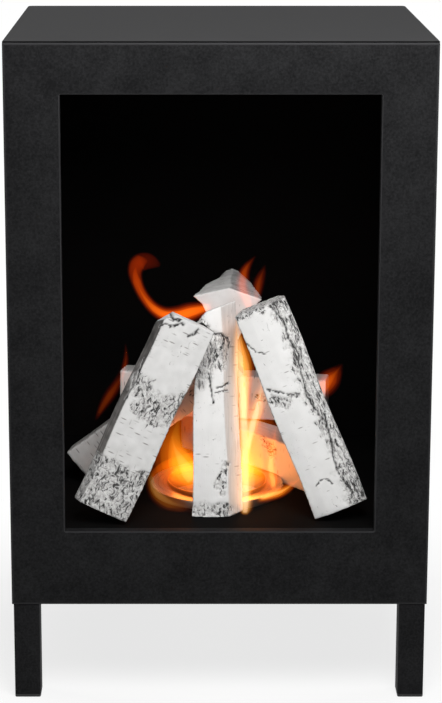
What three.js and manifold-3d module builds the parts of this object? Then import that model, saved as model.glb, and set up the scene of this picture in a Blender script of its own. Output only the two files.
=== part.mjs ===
// A freestanding bioethanol fireplace: a black sheet-steel casing on four square legs, a hearth plate with a
// round burner let into it, and seven ceramic split logs stacked round the burner.
//
// Millimetres, +Z up. The origin is on the floor under the middle of the casing, and the open front faces -Y.

import * as THREE from "three";
import { mergeVertices } from "three/addons/utils/BufferGeometryUtils.js";
import Module from "manifold-3d";

const wasm = await Module();
wasm.setup();

// ---------------------------------------------------------------------------------------------------------
// Driving dimensions

// Casing
const CASING_WIDTH = 400;
const CASING_DEPTH = 330;
const CASING_HEIGHT = 544;
const SHEET = 1.5; // wall of every folded panel
const FOOT_RETURN = 30; // how far the front panel folds back along the bottom, where the front legs bolt on
const FLANGE = 18; // folded edges inside the casing
const BACK_RECESS = 3; // how deep the back panel lies, which keeps its screw heads inside the casing
const FOOT_FLANGE = 30; // the side panels' bottom edges, where the rear legs bolt on

// Firebox opening, as the widths of the frame left round it
const FRAME_SIDE = 52;
const FRAME_TOP = 49;
const FRAME_BOTTOM = 74;
const OPENING_RETURN = 10; // how far the opening's edges fold back into the firebox

// Legs
const LEG_HEIGHT = 96;
const LEG_SIZE = 25;
const LEG_WALL = 1.5;
const LEG_INSET = 1.5; // from the casing's sides, front and back
const LEG_PLATE = 6; // tapped plate closing the tube's top
const CAP_FLANGE = 3; // the end cap's visible edge
const CAP_PLUG = 12; // how far the cap reaches up the tube
const CAP_BORE = 14; // width of the cap's hollow, open towards the tube

// Hearth plate, its rails, and the heat shields
const HEARTH_LIP = 12; // the plate's folded-down front and back edges
const RAIL_SIZE = 20;
const RAIL_WALL = 2;
const REAR_SHIELD_GAP = 12; // air gap between the rear shield and the side panels' rear flanges
const TOP_SHIELD_GAP = 24; // air gap between the top shield and the top panel
const SHIELD_MARGIN = 3; // what the shields stay clear of the side panels
const TOP_SHIELD_SETBACK = 30; // from the back of the front panel

// Fasteners
const SCREW_RADIUS = 2; // M4
const SCREW_HEAD_RADIUS = 4;
const SCREW_HEAD_HEIGHT = 2.4;
const SCREW_LENGTH = 8;
const BACK_SCREWS_PER_SIDE = 3;
const BACK_SCREW_END = 40; // from the casing's top and bottom
const HEARTH_SCREW_END = 35; // from the rails' ends
const BOLT_RADIUS = 3; // M6
const BOLT_HEAD_RADIUS = 5.8;
const BOLT_HEAD_HEIGHT = 4;
const BOLT_LENGTH = 10;

// Burner
const BURNER_X = -1;
const BURNER_SETBACK = 127; // from the casing's front to the burner's centre
const RING_HEIGHT = 8; // above the hearth
const RING_SHEET = 1.5;
const RING_EDGE = 1; // rounding of the ring's outer edge
const MOUTH_RADIUS = 49; // of the opening that the flames come from
const MOUTH_LIP = 2.5; // turned-up edge round the mouth
const CUP_RADIUS = 58;
const CUP_DEPTH = 58; // below the hearth
const CUP_WALL = 1.2;
const CUP_RIM = 5; // width of the rim that carries the cup on the hearth plate
const CUP_CORNER = 8;
const RIM_PLAY = 2.5; // between the cup's rim and the ring that covers it
const WOOL_HEIGHT = 46;
const ROUND_STEPS = 48; // sides of the burner's round pieces

// Logs. Each log's place and section stand in its own entry further down.
const LOG_STEPS = 10; // rings along a log
const LOG_WAVE = 0.8; // how far a log wanders from straight
const LOG_WAVES = 1.5; // turns of that wander along a log
const REAR_LOGS_BACK = 138; // from the burner's centre to the rearmost log end, as its place is written
const REAR_LOGS_MARGIN = 45.2; // from that end's middle to the rear shield

// Clearances
const GAP = 0.3; // between pieces that touch
const HOLE_CLEARANCE = 0.25; // added to the radius of a screw's or bolt's hole
const CUP_CLEARANCE = 1; // added to the radius of the hearth's hole for the cup
const PAST = 1; // how far a cutting tool reaches past what it cuts

// ---------------------------------------------------------------------------------------------------------
// Places worked out from the driving dimensions

const LEFT = -CASING_WIDTH / 2;
const RIGHT = CASING_WIDTH / 2;
const FRONT = -CASING_DEPTH / 2;
const BACK = CASING_DEPTH / 2;
const BASE = LEG_HEIGHT;
const TOP = LEG_HEIGHT + CASING_HEIGHT;
const INNER_LEFT = LEFT + SHEET;
const INNER_RIGHT = RIGHT - SHEET;

const OPENING = {
  left: LEFT + FRAME_SIDE,
  right: RIGHT - FRAME_SIDE,
  bottom: BASE + FRAME_BOTTOM,
  top: TOP - FRAME_TOP,
};
const HEARTH = OPENING.bottom; // the surface that the logs stand on, flush with the opening's lower edge

// The front panel lies over the folded front edges of the other panels.
const PLATE_FRONT = FRONT + SHEET + GAP;
const FRONT_FLANGE_BACK = PLATE_FRONT + SHEET;

// Layers upwards from the base and down from the top: fold, gap, panel, gap.
const FLOOR_PANEL = BASE + SHEET + GAP;
const FLOOR_INSIDE = FLOOR_PANEL + SHEET + GAP;
const UNDER_TOP = TOP - SHEET - GAP;

// Layers forwards from the back: back panel, side panels' flanges, air, rear shield.
const BACK_PANEL_BACK = BACK - BACK_RECESS;
const BACK_PANEL_FACE = BACK_PANEL_BACK - SHEET;
const REAR_FLANGE_BACK = BACK_PANEL_FACE - GAP;
const REAR_FLANGE_FRONT = REAR_FLANGE_BACK - SHEET;
const REAR_SHIELD_BACK = REAR_FLANGE_FRONT - REAR_SHIELD_GAP;
const REAR_SHIELD_FRONT = REAR_SHIELD_BACK - SHEET;
const TOP_SHIELD_TOP = TOP - SHEET - TOP_SHIELD_GAP;

const HEARTH_FRONT = FRONT + OPENING_RETURN + GAP;
const RAIL_TOP = HEARTH - SHEET - GAP;
const RAIL_FRONT = HEARTH_FRONT + SHEET + GAP;
const RAIL_BACK = REAR_SHIELD_FRONT - HEARTH_LIP;
const BURNER = [BURNER_X, FRONT + BURNER_SETBACK];
const RING_RADIUS = CUP_RADIUS + CUP_RIM + RIM_PLAY + RING_SHEET;

// The rear logs spread out or close up with the room between the burner and the rear shield.
const REAR_SPREAD = (REAR_SHIELD_FRONT - REAR_LOGS_MARGIN - BURNER[1]) / REAR_LOGS_BACK;

// ---------------------------------------------------------------------------------------------------------
// Materials

const finish = (color, roughness, metalness) => () =>
  new THREE.MeshStandardMaterial({ color, roughness, metalness });
const powderCoat = finish(0x2c2c2d, 0.55, 0.1);
const heatPaint = finish(0x101010, 0.8, 0.1);
const blackPlastic = finish(0x18181a, 0.6, 0);
const zincSteel = finish(0xa8a9a6, 0.35, 1);
const stainless = finish(0xb9b7b0, 0.3, 1);
const mineralWool = finish(0xd9d2c4, 0.95, 0);
const birchCeramic = finish(0xe2e0dc, 0.8, 0);

// ---------------------------------------------------------------------------------------------------------
// Solids: closed geometries as boolean operands

function solidOf(geometry) {
  const bare = geometry.index ? geometry.toNonIndexed() : geometry.clone();
  bare.deleteAttribute("normal");
  bare.deleteAttribute("uv");
  const merged = mergeVertices(bare, 1e-4);
  return new wasm.Manifold(
    new wasm.Mesh({
      numProp: 3,
      vertProperties: merged.attributes.position.array,
      triVerts: new Uint32Array(merged.index.array),
    }),
  );
}

function meshOf(name, solid, material) {
  const { vertProperties, triVerts } = solid.getMesh();
  const geometry = new THREE.BufferGeometry();
  geometry.setAttribute("position", new THREE.BufferAttribute(new Float32Array(vertProperties), 3));
  geometry.setIndex(new THREE.BufferAttribute(new Uint32Array(triVerts), 1));
  geometry.computeVertexNormals();
  const mesh = new THREE.Mesh(geometry, material());
  mesh.name = name;
  return mesh;
}

const union = (solids) => solids.reduce((sum, solid) => sum.add(solid));
const cut = (solid, tools) => tools.reduce((rest, tool) => rest.subtract(tool), solid);

// A rectangular slab between two corners. It is a unit box scaled from the low corner, so that slabs which
// share a face share it exactly.
function slab(low, high) {
  const size = high.map((h, i) => h - low[i]);
  const placed = new THREE.Matrix4().makeScale(...size).setPosition(...low);
  return solidOf(new THREE.BoxGeometry().translate(0.5, 0.5, 0.5).applyMatrix4(placed));
}

// The same slab on the left (side -1) or mirrored to the right (side 1).
const sided = (side, low, high) =>
  side < 0 ? slab(low, high) : slab([-high[0], low[1], low[2]], [-low[0], high[1], high[2]]);

// A square slab about an upright axis.
const squareAbout = ([x, y], size, bottom, top) =>
  slab([x - size / 2, y - size / 2, bottom], [x + size / 2, y + size / 2, top]);

// A folded sheet: an outline of [y, z] points drawn out along X.
function foldedAlongX(outline, from, to) {
  const shape = new THREE.Shape(outline.map(([y, z]) => new THREE.Vector2(y, z)));
  const geometry = new THREE.ExtrudeGeometry(shape, { depth: to - from, bevelEnabled: false });
  const turn = new THREE.Matrix4().makeBasis(
    new THREE.Vector3(0, 1, 0),
    new THREE.Vector3(0, 0, 1),
    new THREE.Vector3(1, 0, 0),
  );
  return solidOf(geometry.applyMatrix4(turn.setPosition(from, 0, 0)));
}

// A round bar along an axis of the frame, from a point.
function bar(axis, radius, from, length, steps = 16) {
  const geometry = new THREE.CylinderGeometry(radius, radius, length, steps).translate(0, length / 2, 0);
  if (axis === "z") geometry.rotateX(Math.PI / 2);
  return solidOf(geometry.translate(...from));
}

// A turned solid from [radius, height] pairs, which end on the axis or join up.
function turned(profile, [x, y], base) {
  const onAxis = profile[0][0] === 0;
  const points = (onAxis ? profile : [...profile, profile[0]]).map(([r, z]) => new THREE.Vector2(r, z));
  if (THREE.ShapeUtils.area(points) < 0) points.reverse();
  const geometry = new THREE.LatheGeometry(points, ROUND_STEPS).rotateX(Math.PI / 2);
  return solidOf(geometry.translate(x, y, base));
}

// Points of a quarter-round from one angle to another, in degrees.
const arc = ([cx, cy], radius, from, to, steps = 3) =>
  Array.from({ length: steps + 1 }, (_, i) => {
    const angle = THREE.MathUtils.degToRad(from + ((to - from) * i) / steps);
    return [cx + radius * Math.cos(angle), cy + radius * Math.sin(angle)];
  });

// ---------------------------------------------------------------------------------------------------------
// Screws: a pan head on a plain shank

function screwDown(name, [x, y, seat]) {
  const shank = bar("z", SCREW_RADIUS, [x, y, seat - SCREW_LENGTH], SCREW_LENGTH + SCREW_HEAD_HEIGHT / 2);
  return meshOf(name, shank.add(bar("z", SCREW_HEAD_RADIUS, [x, y, seat], SCREW_HEAD_HEIGHT)), zincSteel);
}

function screwForward(name, [x, seat, z]) {
  const shank = bar("y", SCREW_RADIUS, [x, seat - SCREW_LENGTH, z], SCREW_LENGTH + SCREW_HEAD_HEIGHT / 2);
  return meshOf(name, shank.add(bar("y", SCREW_HEAD_RADIUS, [x, seat, z], SCREW_HEAD_HEIGHT)), zincSteel);
}

const screwHole = (axis, from, length) => bar(axis, SCREW_RADIUS + HOLE_CLEARANCE, from, length);
const sideName = (side) => (side < 0 ? "left" : "right");

// The back panel's screws: a column on each side.
const BACK_SCREWS = [-1, 1].flatMap((side) =>
  Array.from({ length: BACK_SCREWS_PER_SIDE }, (_, row) => ({
    name: `back_screw_${sideName(side)}_${row + 1}`,
    x: side * (INNER_RIGHT - FLANGE / 2),
    z: THREE.MathUtils.lerp(BASE + BACK_SCREW_END, TOP - BACK_SCREW_END, row / (BACK_SCREWS_PER_SIDE - 1)),
  })),
);
const backScrewHoles = () => {
  const front = REAR_FLANGE_FRONT - PAST;
  return BACK_SCREWS.map(({ x, z }) => screwHole("y", [x, front, z], BACK - front));
};

// The hearth plate's screws: two into each rail.
const HEARTH_SCREWS = [-1, 1].flatMap((side) =>
  [RAIL_FRONT + HEARTH_SCREW_END, RAIL_BACK - HEARTH_SCREW_END].map((y, row) => ({
    name: `hearth_screw_${sideName(side)}_${row ? "rear" : "front"}`,
    x: side * (INNER_RIGHT - GAP - RAIL_SIZE / 2),
    y,
  })),
);
const hearthScrewHoles = () => {
  const bottom = RAIL_TOP - RAIL_WALL - PAST;
  return HEARTH_SCREWS.map(({ x, y }) => screwHole("z", [x, y, bottom], HEARTH + PAST - bottom));
};

// ---------------------------------------------------------------------------------------------------------
// Legs: square tubes with a tapped top plate, each with an end cap and a bolt

const LEGS = [-1, 1].flatMap((sideY) =>
  [-1, 1].map((sideX) => ({
    place: `${sideY < 0 ? "front" : "rear"}_${sideName(sideX)}`,
    centre: [sideX * (RIGHT - LEG_INSET - LEG_SIZE / 2), sideY * (BACK - LEG_INSET - LEG_SIZE / 2)],
  })),
);
const LEG_TOP = BASE - GAP;
const LEG_BORE = LEG_SIZE - 2 * LEG_WALL;

const boltHoles = () => {
  const bottom = LEG_TOP - LEG_PLATE - PAST;
  const length = FLOOR_INSIDE + PAST - bottom;
  return LEGS.map(({ centre }) => bar("z", BOLT_RADIUS + HOLE_CLEARANCE, [...centre, bottom], length));
};

function makeLeg({ place, centre }) {
  const tube = squareAbout(centre, LEG_SIZE, CAP_FLANGE + GAP, LEG_TOP);
  const hollow = squareAbout(centre, LEG_BORE, 0, LEG_TOP - LEG_PLATE);
  return meshOf(`leg_${place}`, cut(tube, [hollow, ...boltHoles()]), powderCoat);
}

function makeLegCap({ place, centre }) {
  const flange = squareAbout(centre, LEG_SIZE, 0, CAP_FLANGE);
  const plug = squareAbout(centre, LEG_BORE - 2 * GAP, 0, CAP_FLANGE + CAP_PLUG);
  const hollow = squareAbout(centre, CAP_BORE, CAP_FLANGE, CAP_FLANGE + CAP_PLUG + PAST);
  return meshOf(`leg_cap_${place}`, cut(flange.add(plug), [hollow]), blackPlastic);
}

function makeLegBolt({ place, centre }) {
  const length = BOLT_LENGTH + BOLT_HEAD_HEIGHT / 2;
  const shank = bar("z", BOLT_RADIUS, [...centre, FLOOR_INSIDE - BOLT_LENGTH], length);
  const head = bar("z", BOLT_HEAD_RADIUS, [...centre, FLOOR_INSIDE], BOLT_HEAD_HEIGHT, 6);
  return meshOf(`leg_bolt_${place}`, shank.add(head), zincSteel);
}

// ---------------------------------------------------------------------------------------------------------
// Casing panels

function makeFrontPanel() {
  const { left, right, bottom, top } = OPENING;
  const behind = FRONT + OPENING_RETURN;
  const plate = slab([LEFT, FRONT, BASE], [RIGHT, FRONT + SHEET, TOP]);
  const foot = slab([LEFT, FRONT, BASE], [RIGHT, FRONT + FOOT_RETURN, BASE + SHEET]);
  const frame = slab([left - SHEET, FRONT, bottom - SHEET], [right + SHEET, behind, top + SHEET]);
  const mouth = slab([left, FRONT - PAST, bottom], [right, behind + PAST, top]);
  return meshOf("front_panel", cut(union([plate, foot, frame]), [mouth, ...boltHoles()]), powderCoat);
}

function makeSidePanel(side) {
  const flangeRight = INNER_LEFT + FLANGE;
  const footFront = FRONT + FOOT_RETURN + GAP;
  const solid = union([
    sided(side, [LEFT, PLATE_FRONT, BASE], [INNER_LEFT, BACK, UNDER_TOP]),
    sided(side, [LEFT, PLATE_FRONT, FLOOR_INSIDE], [flangeRight, FRONT_FLANGE_BACK, UNDER_TOP]),
    sided(side, [LEFT, REAR_FLANGE_FRONT, FLOOR_INSIDE], [flangeRight, REAR_FLANGE_BACK, UNDER_TOP]),
    sided(side, [LEFT, PLATE_FRONT, UNDER_TOP - SHEET], [flangeRight, REAR_FLANGE_BACK, UNDER_TOP]),
    sided(side, [LEFT, footFront, BASE], [LEFT + FOOT_FLANGE, REAR_FLANGE_BACK, BASE + SHEET]),
  ]);
  // A notch keeps the lower corner clear of the front panel's foot.
  const notchLow = [LEFT - PAST, PLATE_FRONT - PAST, BASE - PAST];
  const notch = sided(side, notchLow, [INNER_LEFT + PAST, footFront, BASE + SHEET + GAP]);
  const tools = [notch, ...boltHoles(), ...backScrewHoles()];
  return meshOf(`${sideName(side)}_side_panel`, cut(solid, tools), powderCoat);
}

function makeTopPanel() {
  const lipLeft = INNER_LEFT + FLANGE + GAP;
  const plate = slab([LEFT, PLATE_FRONT, TOP - SHEET], [RIGHT, BACK, TOP]);
  const lip = slab([lipLeft, PLATE_FRONT, TOP - FLANGE], [-lipLeft, FRONT_FLANGE_BACK, TOP]);
  return meshOf("top_panel", plate.add(lip), powderCoat);
}

function makeBottomPanel() {
  const plate = slab(
    [INNER_LEFT + GAP, PLATE_FRONT, FLOOR_PANEL],
    [INNER_RIGHT - GAP, REAR_FLANGE_BACK, FLOOR_PANEL + SHEET],
  );
  const lipLeft = INNER_LEFT + FLANGE + GAP;
  const lip = slab(
    [lipLeft, REAR_FLANGE_FRONT, FLOOR_PANEL],
    [-lipLeft, REAR_FLANGE_BACK, FLOOR_PANEL + FLANGE],
  );
  return meshOf("bottom_panel", cut(plate.add(lip), boltHoles()), powderCoat);
}

function makeBackPanel() {
  const low = [INNER_LEFT + GAP, BACK_PANEL_FACE, BASE];
  const high = [INNER_RIGHT - GAP, BACK_PANEL_BACK, UNDER_TOP];
  return meshOf("back_panel", cut(slab(low, high), backScrewHoles()), powderCoat);
}

// ---------------------------------------------------------------------------------------------------------
// Inside the casing: rails, hearth plate and heat shields

function makeHearthRail(side) {
  const outer = INNER_LEFT + GAP;
  const upright = [outer + RAIL_WALL, RAIL_BACK, RAIL_TOP];
  const solid = union([
    sided(side, [outer, RAIL_FRONT, RAIL_TOP - RAIL_SIZE], upright),
    sided(side, [outer, RAIL_FRONT, RAIL_TOP - RAIL_WALL], [outer + RAIL_SIZE, RAIL_BACK, RAIL_TOP]),
  ]);
  return meshOf(`hearth_rail_${sideName(side)}`, cut(solid, hearthScrewHoles()), zincSteel);
}

function makeHearthPlate() {
  const left = INNER_LEFT + GAP;
  const back = REAR_SHIELD_BACK;
  const under = HEARTH - SHEET;
  const lip = HEARTH - HEARTH_LIP;
  const outline = [
    [HEARTH_FRONT, lip],
    [HEARTH_FRONT + SHEET, lip],
    [HEARTH_FRONT + SHEET, under],
    [back - SHEET, under],
    [back - SHEET, lip],
    [back, lip],
    [back, HEARTH],
    [HEARTH_FRONT, HEARTH],
  ];
  const holeRadius = CUP_RADIUS + CUP_CLEARANCE;
  const cupHole = bar("z", holeRadius, [...BURNER, under - PAST], SHEET + 2 * PAST, ROUND_STEPS);
  const plate = foldedAlongX(outline, left, -left);
  return meshOf("hearth_plate", cut(plate, [cupHole, ...hearthScrewHoles()]), heatPaint);
}

function makeRearShield() {
  const left = INNER_LEFT + SHIELD_MARGIN;
  const low = HEARTH + GAP;
  const high = TOP_SHIELD_TOP - SHEET - GAP;
  const plate = slab([left, REAR_SHIELD_FRONT, low], [-left, REAR_SHIELD_BACK, high]);
  const returns = [-1, 1].map((side) =>
    sided(side, [left, REAR_SHIELD_FRONT, low], [left + SHEET, REAR_FLANGE_FRONT - GAP, high]),
  );
  return meshOf("rear_heat_shield", union([plate, ...returns]), heatPaint);
}

function makeTopShield() {
  const left = INNER_LEFT + FLANGE + SHIELD_MARGIN;
  const front = FRONT + SHEET + TOP_SHIELD_SETBACK;
  const bottom = TOP_SHIELD_TOP - SHEET;
  const plate = slab([left, front, bottom], [-left, REAR_SHIELD_BACK, TOP_SHIELD_TOP]);
  const uprights = [-1, 1].map((side) =>
    sided(side, [left, front, bottom], [left + SHEET, REAR_SHIELD_BACK, TOP - SHEET - GAP]),
  );
  return meshOf("top_heat_shield", union([plate, ...uprights]), heatPaint);
}

// ---------------------------------------------------------------------------------------------------------
// Burner: a cup hung in the hearth plate, mineral wool that soaks up the fuel, and a cover ring

function makeBurnerCup() {
  const inside = CUP_RADIUS - CUP_WALL;
  const floor = -CUP_DEPTH;
  const rimTop = GAP + CUP_WALL;
  const corner = [CUP_RADIUS - CUP_CORNER, floor + CUP_CORNER];
  const profile = [
    [0, floor],
    ...arc(corner, CUP_CORNER, -90, 0),
    [CUP_RADIUS, GAP],
    [CUP_RADIUS + CUP_RIM, GAP],
    [CUP_RADIUS + CUP_RIM, rimTop],
    [inside, rimTop],
    ...arc(corner, CUP_CORNER - CUP_WALL, 0, -90),
    [0, floor + CUP_WALL],
  ];
  return meshOf("burner_cup", turned(profile, BURNER, HEARTH), stainless);
}

function makeBurnerWool() {
  const radius = CUP_RADIUS - CUP_WALL - GAP;
  const floor = -CUP_DEPTH;
  const profile = [
    [0, floor + CUP_WALL + GAP],
    ...arc([CUP_RADIUS - CUP_CORNER, floor + CUP_CORNER], CUP_CORNER - CUP_WALL - GAP, -90, 0),
    [radius, floor + CUP_WALL + WOOL_HEIGHT],
    [0, floor + CUP_WALL + WOOL_HEIGHT],
  ];
  return meshOf("burner_wool", turned(profile, BURNER, HEARTH), mineralWool);
}

function makeBurnerRing() {
  const lip = MOUTH_RADIUS + RING_SHEET;
  const inner = RING_RADIUS - RING_SHEET;
  const profile = [
    [RING_RADIUS, GAP],
    ...arc([RING_RADIUS - RING_EDGE, RING_HEIGHT - RING_EDGE], RING_EDGE, 0, 90),
    [lip, RING_HEIGHT],
    ...arc([MOUTH_RADIUS + RING_SHEET / 2, RING_HEIGHT + MOUTH_LIP], RING_SHEET / 2, 0, 180),
    [MOUTH_RADIUS, RING_HEIGHT - RING_SHEET],
    [inner, RING_HEIGHT - RING_SHEET],
    [inner, GAP],
  ];
  return meshOf("burner_ring", turned(profile, BURNER, HEARTH), stainless);
}

// The space that the ring and its mouth's lip keep free of the logs.
function ringSpace() {
  const lipRadius = MOUTH_RADIUS + RING_SHEET + GAP;
  const lipHeight = RING_HEIGHT + MOUTH_LIP + RING_SHEET / 2 + GAP;
  return union([
    bar("z", RING_RADIUS + GAP, [...BURNER, HEARTH - PAST], RING_HEIGHT + GAP + PAST, ROUND_STEPS),
    bar("z", lipRadius, [...BURNER, HEARTH - PAST], lipHeight + PAST, ROUND_STEPS),
  ]);
}

// ---------------------------------------------------------------------------------------------------------
// Logs
//
// Places are [across, back, up] from the burner's centre at the hearth's surface. foot and head are the
// middle of the bark face at each end, face is the way that the bark looks, width is the bark face's at foot
// and head, depth is how thick the log is, and crown how far its bark bulges. heart is the width of the log's
// back as a share of the bark face's. left and right are the corners of the split faces between the two, as
// [outwards, backwards] from the bark's edges. slope tips the head's end. A log is cut back from the logs
// that it leans on.

const LOGS = [
  {
    name: "log_front_left",
    foot: [-111, -111, 13],
    head: [-26, -77, 194],
    face: [0, -1, 0],
    width: [50, 50],
    depth: 36,
    crown: 2,
    heart: 0.7,
    left: [6, 14],
    right: [-3, 20],
    slope: 0,
    leansOn: [],
  },
  {
    name: "log_front_right",
    foot: [119, -99, 12],
    head: [39.5, -72, 208],
    face: [0, -1, 0],
    width: [55, 53],
    depth: 40,
    crown: 4,
    heart: 0.7,
    left: [-3, 20],
    right: [-1, 20],
    slope: 0,
    leansOn: [],
  },
  {
    name: "log_front_centre",
    foot: [-4, -86, 0],
    head: [-4.5, -40, 198],
    face: [0, -1, 0],
    width: [44, 35],
    depth: 34,
    crown: 2,
    heart: 0.7,
    left: [-2, 16],
    right: [11, 12],
    slope: 0.35,
    leansOn: ["log_front_left", "log_front_right"],
  },
  {
    name: "log_left_leaning",
    foot: [-140, 18, 16],
    head: [13, -14, 141],
    face: [0, -1, 0],
    width: [44, 44],
    depth: 40,
    crown: 2,
    heart: 0.7,
    left: [-2, 18],
    right: [-4, 18],
    slope: 0,
    leansOn: ["log_front_centre"],
  },
  {
    name: "log_rear_lower",
    foot: [-37, 138, 22.5],
    head: [95, -19, 22.5],
    face: [-0.77, -0.64, 0],
    width: [45, 45],
    depth: 44,
    crown: 1,
    heart: 0.8,
    left: [-2, 20],
    right: [-1, 20],
    slope: 0,
    leansOn: [],
  },
  {
    name: "log_rear_cross",
    foot: [-102, 118, 67.5],
    head: [115, 86, 67.5],
    face: [-0.15, -1, 0],
    width: [50, 46],
    depth: 42,
    crown: 1,
    heart: 0.8,
    left: [-2, 20],
    right: [-3, 20],
    slope: 0,
    leansOn: ["log_rear_lower"],
  },
  {
    name: "log_crown",
    foot: [11.5, -5, 203],
    head: [16, 70, 206],
    face: [0, 0, 1],
    width: [75, 24],
    depth: 46,
    crown: 8,
    heart: 0.25,
    left: [-10, 9],
    right: [-10, 9],
    slope: 0,
    leansOn: ["log_front_centre", "log_left_leaning"],
  },
];
const logNamed = (name) => LOGS.find((log) => log.name === name);
const placeOf = ([across, back, up], spread) =>
  new THREE.Vector3(BURNER[0] + across, BURNER[1] + spread * back, HEARTH + up);

// The log's section: x across the bark face, y into the log.
function logSection({ width, depth, crown, heart, left, right }) {
  const half = width[0] / 2;
  return [
    [-half, 0],
    [-half / 2, -crown * 0.75],
    [0, -crown],
    [half / 2, -crown * 0.75],
    [half, 0],
    [half + right[0], right[1]],
    [half * heart, depth],
    [-half * heart, depth],
    [-half - left[0], left[1]],
  ].map(([x, y]) => new THREE.Vector2(x, y));
}

// An outline moved outwards by an even distance.
function grown(outline, distance) {
  return outline.map((point, i) => {
    const before = outline[(i + outline.length - 1) % outline.length];
    const after = outline[(i + 1) % outline.length];
    const inwards = point.clone().sub(before).normalize();
    const onwards = after.clone().sub(point).normalize();
    const outwards = new THREE.Vector2(inwards.y + onwards.y, -inwards.x - onwards.x).normalize();
    const square = new THREE.Vector2(inwards.y, -inwards.x);
    return point.clone().addScaledVector(outwards, distance / outwards.dot(square));
  });
}

// The log as a solid in its place, or with a margin all round it as a cutting tool.
function logSolid(log, margin = 0) {
  const spread = log.name.startsWith("log_rear") ? REAR_SPREAD : 1;
  const foot = placeOf(log.foot, spread);
  const along = placeOf(log.head, spread).sub(foot);
  const length = along.length();
  along.normalize();
  const inwards = new THREE.Vector3(...log.face).negate();
  inwards.addScaledVector(along, -inwards.dot(along)).normalize();
  const across = new THREE.Vector3().crossVectors(inwards, along);

  const outline = new THREE.Shape(margin ? grown(logSection(log), margin) : logSection(log));
  const geometry = new THREE.ExtrudeGeometry(outline, {
    depth: length + 2 * margin,
    steps: LOG_STEPS,
    bevelEnabled: false,
  }).translate(0, 0, -margin);
  const position = geometry.getAttribute("position");
  const taper = log.width[1] / log.width[0] - 1;
  for (let i = 0; i < position.count; i += 1) {
    const t = position.getZ(i) / length;
    const wander = LOG_WAVE * Math.sin(2 * Math.PI * LOG_WAVES * t);
    const x = position.getX(i) * (1 + taper * t);
    position.setXYZ(i, x + wander, position.getY(i) + wander, t * length + log.slope * x * t);
  }
  const frame = new THREE.Matrix4().makeBasis(across, inwards, along).setPosition(foot);
  return solidOf(geometry.applyMatrix4(frame));
}

function makeLog(log) {
  const belowHearth = slab([LEFT, FRONT, HEARTH - LEG_HEIGHT], [RIGHT, BACK, HEARTH + GAP]);
  const supports = log.leansOn.map((name) => logSolid(logNamed(name), GAP));
  return meshOf(log.name, cut(logSolid(log), [belowHearth, ringSpace(), ...supports]), birchCeramic);
}

// ---------------------------------------------------------------------------------------------------------
// The fireplace

const fireplace = new THREE.Group();
fireplace.name = "bioethanol_fireplace";
fireplace.add(
  makeFrontPanel(),
  makeSidePanel(-1),
  makeSidePanel(1),
  makeTopPanel(),
  makeBottomPanel(),
  makeBackPanel(),
  ...BACK_SCREWS.map(({ name, x, z }) => screwForward(name, [x, BACK_PANEL_BACK + GAP, z])),
  ...LEGS.flatMap((leg) => [makeLeg(leg), makeLegCap(leg), makeLegBolt(leg)]),
  makeHearthRail(-1),
  makeHearthRail(1),
  makeHearthPlate(),
  ...HEARTH_SCREWS.map(({ name, x, y }) => screwDown(name, [x, y, HEARTH + GAP])),
  makeRearShield(),
  makeTopShield(),
  makeBurnerCup(),
  makeBurnerWool(),
  makeBurnerRing(),
  ...LOGS.map(makeLog),
);

export default fireplace;
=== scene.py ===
"""Looks of a freestanding bioethanol fireplace: powder-coated steel, a spun burner and birch-look logs.

Lengths are written in millimetres and turned to Blender's metres where a mesh or a node needs them.
"""

import logging
import math
from collections.abc import Callable
from dataclasses import dataclass, field
from enum import Enum
from functools import partial

import bmesh
import bpy
import numpy as np
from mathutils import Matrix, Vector, noise


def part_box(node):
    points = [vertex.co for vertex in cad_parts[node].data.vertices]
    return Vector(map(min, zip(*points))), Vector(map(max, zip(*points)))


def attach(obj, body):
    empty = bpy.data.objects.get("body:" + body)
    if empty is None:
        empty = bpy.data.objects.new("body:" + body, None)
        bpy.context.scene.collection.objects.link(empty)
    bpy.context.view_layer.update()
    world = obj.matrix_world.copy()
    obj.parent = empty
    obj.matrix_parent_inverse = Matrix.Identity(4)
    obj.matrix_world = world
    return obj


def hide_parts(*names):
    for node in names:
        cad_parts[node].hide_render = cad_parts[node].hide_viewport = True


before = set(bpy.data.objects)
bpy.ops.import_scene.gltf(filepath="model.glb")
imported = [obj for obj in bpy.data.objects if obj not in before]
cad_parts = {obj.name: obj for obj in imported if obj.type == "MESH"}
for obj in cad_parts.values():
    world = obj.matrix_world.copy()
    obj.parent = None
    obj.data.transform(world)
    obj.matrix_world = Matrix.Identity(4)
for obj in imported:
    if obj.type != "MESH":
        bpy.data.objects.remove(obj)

LOG = logging.getLogger("fireplace")
MM = 0.001
SAME_PLACE = 0.01 * MM
ALL_SMOOTH = 180.0  # no edge of a flame is sharp
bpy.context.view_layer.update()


# ---- Colours and shader nodes ----


def linear(hex_code: str) -> tuple[float, float, float, float]:
    """Turns an sRGB colour into the linear colour that a shader socket takes.

    Args:
        hex_code: Six hex digits, such as "2A2A2B".

    Returns:
        Linear red, green and blue, with an alpha of 1.
    """
    parts = [int(hex_code[i : i + 2], 16) / 255 for i in (0, 2, 4)]
    red, green, blue = (p / 12.92 if p <= 0.04045 else ((p + 0.055) / 1.055) ** 2.4 for p in parts)
    return red, green, blue, 1.0


def per_mm(size: float) -> float:
    """The scale of a texture in object coordinates whose features are about this many millimetres.

    Args:
        size: The features' size in millimetres.

    Returns:
        The texture's scale, in features per metre.
    """
    return 1 / (size * MM)


Source = bpy.types.Node | bpy.types.NodeSocket
Adder = Callable[..., bpy.types.Node]
Pair = tuple[float, float]
Triple = tuple[float, float, float]


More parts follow.
